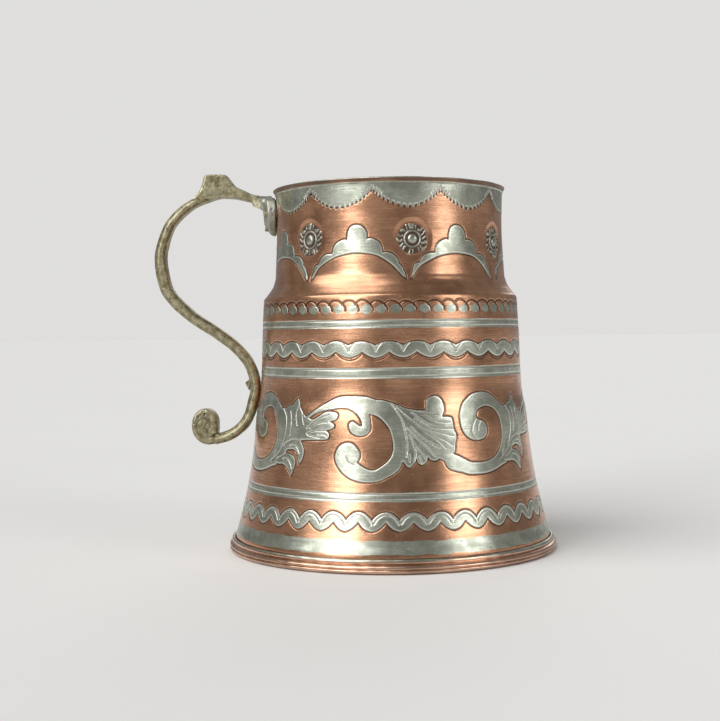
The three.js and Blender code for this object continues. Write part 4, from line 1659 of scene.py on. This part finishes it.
class Nodes:
    """A tree of shader nodes while it is made."""

    def __init__(self, tree: bpy.types.NodeTree) -> None:
        """Starts with an empty tree."""
        self.tree = tree
        self.tree.nodes.clear()

    def node(
        self,
        kind: str,
        settings: dict[str, object] | None = None,
        inputs: dict[str | int, object] | None = None,
        out: str | int = 0,
    ) -> Socket:
        """Makes a node.

        Args:
            kind: its Blender type.
            settings: its properties, which are set before its inputs.
            inputs: a value or a Socket for each input.
            out: the output to give back.

        Returns:
            That output.
        """
        made = self.tree.nodes.new(kind)
        for key, value in (settings or {}).items():
            setattr(made, key, value)
        for key, value in (inputs or {}).items():
            if isinstance(value, Socket):
                self.tree.links.new(value.output(), made.inputs[key])
            else:
                made.inputs[key].default_value = value
        return Socket(self, made, out)


class Shader(Nodes):
    """One material while its nodes are made. Textures are laid out in millimetres."""

    def __init__(self, name: str) -> None:
        """Starts an empty material.

        Args:
            name: the material's name.
        """
        self.material = bpy.data.materials.new(name)
        self.material.use_nodes = True
        super().__init__(self.material.node_tree)
        place = self.node("ShaderNodeTexCoord", out="Object")
        self.place = self.node(
            "ShaderNodeVectorMath", {"operation": "SCALE"}, {0: place, "Scale": 1.0 / MM}
        )

    def read(self, attribute: str) -> Socket:
        """A value that the mesh carries at each point."""
        return self.node("ShaderNodeAttribute", {"attribute_name": attribute}, out="Fac")

    def noise(
        self, size: float, detail: float = 3.0, rough: float = 0.5,
        stretch: tuple[float, float, float] = (1.0, 1.0, 1.0), shift: float = 0.0,
    ) -> Socket:
        """Noise between 0 and 1.

        Args:
            size: millimetres from one swelling to the next.
            detail: octaves.
            rough: how strong the finer octaves are.
            stretch: factors on the three axes; a high one makes the noise finer that way.
            shift: moves the noise, so that two of them differ.

        Returns:
            The noise.
        """
        place = self.node(
            "ShaderNodeMapping", {"vector_type": "POINT"},
            {"Vector": self.place, "Scale": stretch, "Location": (shift, 0.7 * shift, 0.3 * shift)},
        )
        return self.node(
            "ShaderNodeTexNoise", {"noise_dimensions": "3D"},
            {"Vector": place, "Scale": 1.0 / size, "Detail": detail, "Roughness": rough},
        )

    def mix(self, share: Socket | float, low: Colour | Socket, high: Colour | Socket) -> Socket:
        """A colour between two, at a share from the first to the second.

        Args:
            share: 0 for the first, 1 for the second.
            low: the first colour.
            high: the second colour.

        Returns:
            The colour.
        """
        return self.node(
            "ShaderNodeMix", {"data_type": "RGBA"}, {0: share, 6: low, 7: high}, out=2
        )

    def finish(
        self, colour: Socket, metal: Socket | float, rough: Socket | float,
        height: Socket, depth: float,
    ) -> bpy.types.Material:
        """Ends the material.

        Args:
            colour: its base colour.
            metal: how metallic it is.
            rough: its roughness.
            height: fine relief, about 0 to 1.
            depth: millimetres that a step of 1 in the relief stands for.

        Returns:
            The material.
        """
        bump = self.node(
            "ShaderNodeBump", None, {"Height": height, "Distance": depth * MM, "Strength": 1.0},
            out="Normal",
        )
        surface = self.node("ShaderNodeBsdfPrincipled", None, {
            "Base Color": colour, "Metallic": metal, "Roughness": rough, "Normal": bump,
        })
        self.node("ShaderNodeOutputMaterial", None, {"Surface": surface})
        return self.material


class Metal(Enum):
    """Which sheet finish a piece of copper wears."""

    WALL = "wall_copper"
    BASE = "base_copper"


@dataclass(frozen=True)
class SheetFinish:
    """Polished copper with tin, engraved lines and blackened ground, as the mesh marks them; it
    also paints a highlight along the engraved lines and a dark reflection on the rim lip's face.
    """

    metal: Metal
    bright: Colour = (0.68, 0.37, 0.225, 1.0)
    dull: Colour = (0.37, 0.192, 0.112, 1.0)
    stain: Colour = (0.10, 0.054, 0.038, 1.0)
    tin_bright: Colour = (0.555, 0.58, 0.49, 1.0)
    tin_dull: Colour = (0.255, 0.27, 0.215, 1.0)
    # Burnished tin with a painted highlight, laid along the engraved lines.
    burnish_and_highlight: Colour = (0.74, 0.755, 0.67, 1.0)
    black: Colour = (0.012, 0.010, 0.009, 1.0)
    inside_bright: Colour = (0.50, 0.50, 0.47, 1.0)
    inside_dull: Colour = (0.25, 0.25, 0.23, 1.0)
    relief: float = 0.05

    def build(self) -> bpy.types.Material:
        """Makes the material: bare copper, tin and the lining, laid over each other.

        Returns:
            The material.
        """
        s = Shader(self.metal.value)
        tin, cut, line, oxide_and_painted_reflection, inside = (
            s.read(key) for key in ("tin", "cut", "line", "oxide_and_painted_reflection", "inside")
        )
        cloudy = s.noise(17.0, 4.0, 0.6)
        patchy = s.noise(5.0, 4.0, 0.6, shift=31.0)
        streak = s.noise(16.0, 3.0, 0.6, (1.0, 1.0, 13.0))
        scratch = s.noise(7.0, 3.0, 0.7, (1.0, 1.0, 36.0), shift=12.0)
        brushed = s.noise(4.0, 3.0, 0.7, (1.0, 1.0, 26.0), shift=55.0)
        grain = s.noise(0.55, 2.0, 0.6)
        pits = s.noise(1.1, 3.0, 0.6, shift=7.0).step(0.69, 0.76)
        flecks = s.noise(0.8, 2.0, 0.5, shift=19.0).step(0.70, 0.78)

        warm = s.mix(cloudy.step(0.35, 0.72), self.bright, self.dull)
        warm = s.mix(streak.step(0.42, 0.72) * 0.5, warm, self.dull)
        warm = s.mix((pits * 0.75).most(patchy.step(0.66, 0.8) * 0.35), warm, self.stain)

        # A band just inside each tinned outline goes to the burnish colour: burnished metal with a
        # painted highlight.
        burnished_and_highlit = line.step(0.1, 0.3) * (1.0 - line.step(0.5, 0.8))
        grey = s.mix(patchy.step(0.3, 0.7) * 0.75, self.tin_bright, self.tin_dull)
        grey = s.mix(brushed.step(0.5, 0.75) * 0.55, grey, self.tin_dull)
        grey = s.mix(flecks * 0.6, grey, self.tin_bright)
        grey = s.mix(pits * 0.6, grey, self.stain)
        grey = s.mix(burnished_and_highlit * 0.7, grey, self.burnish_and_highlight)
        # The edges of each stroke go to the burnish colour too: a painted highlight on burnished
        # metal.
        grey = s.mix((1.0 - cut.step(0.15, 0.38)) * 0.6, grey, self.burnish_and_highlight)

        lining = s.mix(patchy, self.inside_bright, self.inside_dull)
        lining = s.mix(cloudy.step(0.55, 0.8) * 0.4, lining, self.dull)

        edge = tin + (s.noise(1.4, 3.0, 0.6, shift=3.0) - 0.5) * 0.35
        worn = cloudy.step(0.62, 0.78) * scratch.step(0.5, 0.7) * 0.55
        tinned = edge.step(-0.06, 0.1) * (1.0 - worn)
        outline = line.step(-0.42, -0.24) * (1.0 - line.step(-0.02, 0.16))
        stroke = 1.0 - cut.step(-0.15, 0.08)
        colour = s.mix(tinned, warm, grey)
        colour = s.mix((outline * 0.85).most(stroke * (0.85 - 0.5 * tinned)), colour, self.stain)
        # Black oxide in the rosettes' ground; on the rim lip's face the same black is a painted
        # dark reflection.
        colour = s.mix(oxide_and_painted_reflection * 0.9, colour, self.black)
        colour = s.mix(inside, colour, lining)

        rough = 0.13 + 0.1 * streak + 0.05 * tinned + 0.1 * patchy + 0.14 * pits
        rough = rough + 0.12 * inside + 0.25 * oxide_and_painted_reflection
        height = scratch * 0.5 + streak * 0.8 + grain * 0.1 - pits * 0.9 + patchy * 0.6
        height = height - outline.most(stroke) * 2.0
        return s.finish(colour, 1.0 - 0.8 * oxide_and_painted_reflection, rough, height, self.relief)


@dataclass(frozen=True)
class BrassFinish:
    """Pale cast brass: a dull olive skin, brighter and yellower where it is handled."""

    skin: Colour = (0.21, 0.178, 0.098, 1.0)
    pale: Colour = (0.44, 0.40, 0.265, 1.0)
    bare: Colour = (0.80, 0.74, 0.54, 1.0)
    yellow: Colour = (0.43, 0.32, 0.125, 1.0)
    tin: Colour = (0.40, 0.405, 0.36, 1.0)
    grime_and_hollow_dark: Colour = (0.045, 0.038, 0.025, 1.0)
    relief: float = 0.07

    def build(self) -> bpy.types.Material:
        """Makes the material.

        Returns:
            The material.
        """
        s = Shader("cast_brass")
        edge, grime_and_hollow_dark, tinned, bare = (s.read(key) for key in ("edge", "grime_and_hollow_dark", "tinned", "bare"))
        cloudy = s.noise(11.0, 4.0, 0.6)
        mottle = s.noise(2.2, 4.0, 0.65, shift=8.0)
        grain = s.noise(0.5, 3.0, 0.6)
        pits = s.noise(0.9, 3.0, 0.6, shift=4.0).step(0.66, 0.74)
        colour = s.mix(mottle.step(0.35, 0.68), self.skin, self.pale)
        colour = s.mix(cloudy.step(0.58, 0.74) * 0.55, colour, self.yellow)
        rubbed = (edge * (0.35 + 0.6 * mottle)).most(bare * mottle.step(0.3, 0.55))
        colour = s.mix(rubbed, colour, self.bare)
        colour = s.mix(tinned * mottle.step(0.3, 0.45) * 0.85, colour, self.tin)
        # Darker in pits, in the swirl cut, in the hollows and in some mottles.
        dirt_and_hollow_dark = (grime_and_hollow_dark * 0.8).most(pits * 0.7).most(mottle.step(0.68, 0.8) * 0.5)
        colour = s.mix(dirt_and_hollow_dark, colour, self.grime_and_hollow_dark)
        rough = 0.36 - 0.14 * edge + 0.16 * mottle + 0.2 * dirt_and_hollow_dark
        height = mottle * 0.7 + grain * 0.3 - pits * 0.8
        return s.finish(colour, 0.92 - 0.35 * dirt_and_hollow_dark, rough, height, self.relief)


@dataclass(frozen=True)
class RivetFinish:
    """Hammered copper, worn pale, with dull pits."""

    bright: Colour = (0.47, 0.41, 0.28, 1.0)
    dull: Colour = (0.23, 0.19, 0.12, 1.0)
    relief: float = 0.06

    def build(self) -> bpy.types.Material:
        """Makes the material.

        Returns:
            The material.
        """
        s = Shader("rivet_copper")
        mottle = s.noise(1.6, 4.0, 0.6)
        pits = s.noise(0.6, 3.0, 0.6, shift=4.0).step(0.64, 0.74)
        colour = s.mix(mottle.step(0.35, 0.7).most(pits), self.bright, self.dull)
        return s.finish(colour, 1.0, 0.36 + 0.2 * mottle, mottle - pits * 0.6, self.relief)


@dataclass(frozen=True)
class FloorFinish:
    """Plain matt pale floor, a little cloudy."""

    tone: Colour = (0.86, 0.855, 0.84, 1.0)
    lighter_by: float = 1.04
    relief: float = 0.01

    def build(self) -> bpy.types.Material:
        """Makes the material.

        Returns:
            The material.
        """
        s = Shader("floor_pale")
        cloudy = s.noise(220.0, 3.0, 0.5)
        lighter = tuple(min(1.0, part * self.lighter_by) for part in self.tone)
        return s.finish(s.mix(cloudy, self.tone, lighter), 0.0, 0.8, s.noise(1.2), self.relief)


@dataclass
class Studio:
    """Floor, world, lights and the camera of the photograph."""

    distance: float = 0.4949
    eye_height: float = 0.0835
    lens: float = 62.5
    sensor: float = 36.0
    turn: float = 1.40
    tilt: float = 1.21
    roll: float = -0.69
    world: float = 0.27
    backdrop: float = 0.74
    sky: Colour = (1.0, 0.99, 0.975, 1.0)
    floor_size: float = 60.0
    floor_drop: float = 0.0002
    panels: tuple[tuple[str, float, float, tuple[float, float, float]], ...] = (
        ("sky_panel", 1.95, 60.0, (-0.9, -0.75, 1.2)),
        ("window_panel", 0.55, 24.0, (-1.0, -1.35, 0.5)),
        ("fill_panel", 0.5, 26.0, (1.7, -1.1, 0.6)),
        ("back_panel", 0.4, 40.0, (0.2, 1.9, 1.0)),
    )

    def build(self) -> None:
        """Sets up everything round the object."""
        self.lay_floor()
        self.set_world()
        for panel in self.panels:
            self.hang(*panel)
        self.set_camera()

    def lay_floor(self) -> None:
        """The plain floor, just under the object."""
        place = (0.0, 0.0, -self.floor_drop)
        bpy.ops.mesh.primitive_plane_add(size=self.floor_size, location=place)
        floor = bpy.context.object
        floor.name = "floor"
        floor.data.materials.append(FloorFinish().build())

    def set_world(self) -> None:
        """Pale world for the camera, softer for reflections."""
        world = bpy.data.worlds.new("studio")
        world.use_nodes = True
        bpy.context.scene.world = world
        nodes = Nodes(world.node_tree)
        seen = nodes.node("ShaderNodeLightPath", out="Is Camera Ray")
        strength = nodes.node(
            "ShaderNodeMapRange", None,
            {"Value": seen, "To Min": self.world, "To Max": self.backdrop},
        )
        sky = nodes.node("ShaderNodeBackground", None, {"Color": self.sky, "Strength": strength})
        nodes.node("ShaderNodeOutputWorld", None, {"Surface": sky})

    def hang(
        self, name: str, power: float, width: float, side: tuple[float, float, float]
    ) -> None:
        """A soft panel so far away that it lights the whole floor evenly.

        Args:
            name: its name.
            power: its light, in watts per square metre.
            width: how wide it looks, in degrees.
            side: where it is, as seen from the object.
        """
        light = bpy.data.lights.new(name, "SUN")
        light.energy = power
        light.angle = math.radians(width)
        panel = bpy.data.objects.new(name, light)
        panel.rotation_euler = Vector(side).to_track_quat("Z", "Y").to_euler()
        bpy.context.scene.collection.objects.link(panel)

    def set_camera(self) -> None:
        """The camera at the photograph's place and angle."""
        lens = bpy.data.cameras.new("camera")
        lens.lens = self.lens
        lens.sensor_width = self.sensor
        lens.sensor_fit = "HORIZONTAL"
        camera = bpy.data.objects.new("camera", lens)
        camera.matrix_world = (
            Matrix.Translation((0.0, -self.distance, self.eye_height))
            @ Matrix.Rotation(math.radians(self.turn), 4, "Z")
            @ Matrix.Rotation(math.radians(90.0 - self.tilt), 4, "X")
            @ Matrix.Rotation(math.radians(self.roll), 4, "Z")
        )
        bpy.context.scene.collection.objects.link(camera)
        bpy.context.scene.camera = camera
        bpy.context.scene.view_settings.view_transform = "Standard"


def main() -> None:
    """Builds the tankard and the studio."""
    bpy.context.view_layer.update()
    wall = Wall()
    for part in (wall, Base(), Handle(wall), Rivets(wall)):
        for piece in part.build():
            LOG.info("%s, %d faces", piece.name, len(piece.data.polygons))
    Studio().build()


if __name__ == "__main__":
    logging.basicConfig(level=logging.INFO)
    main()
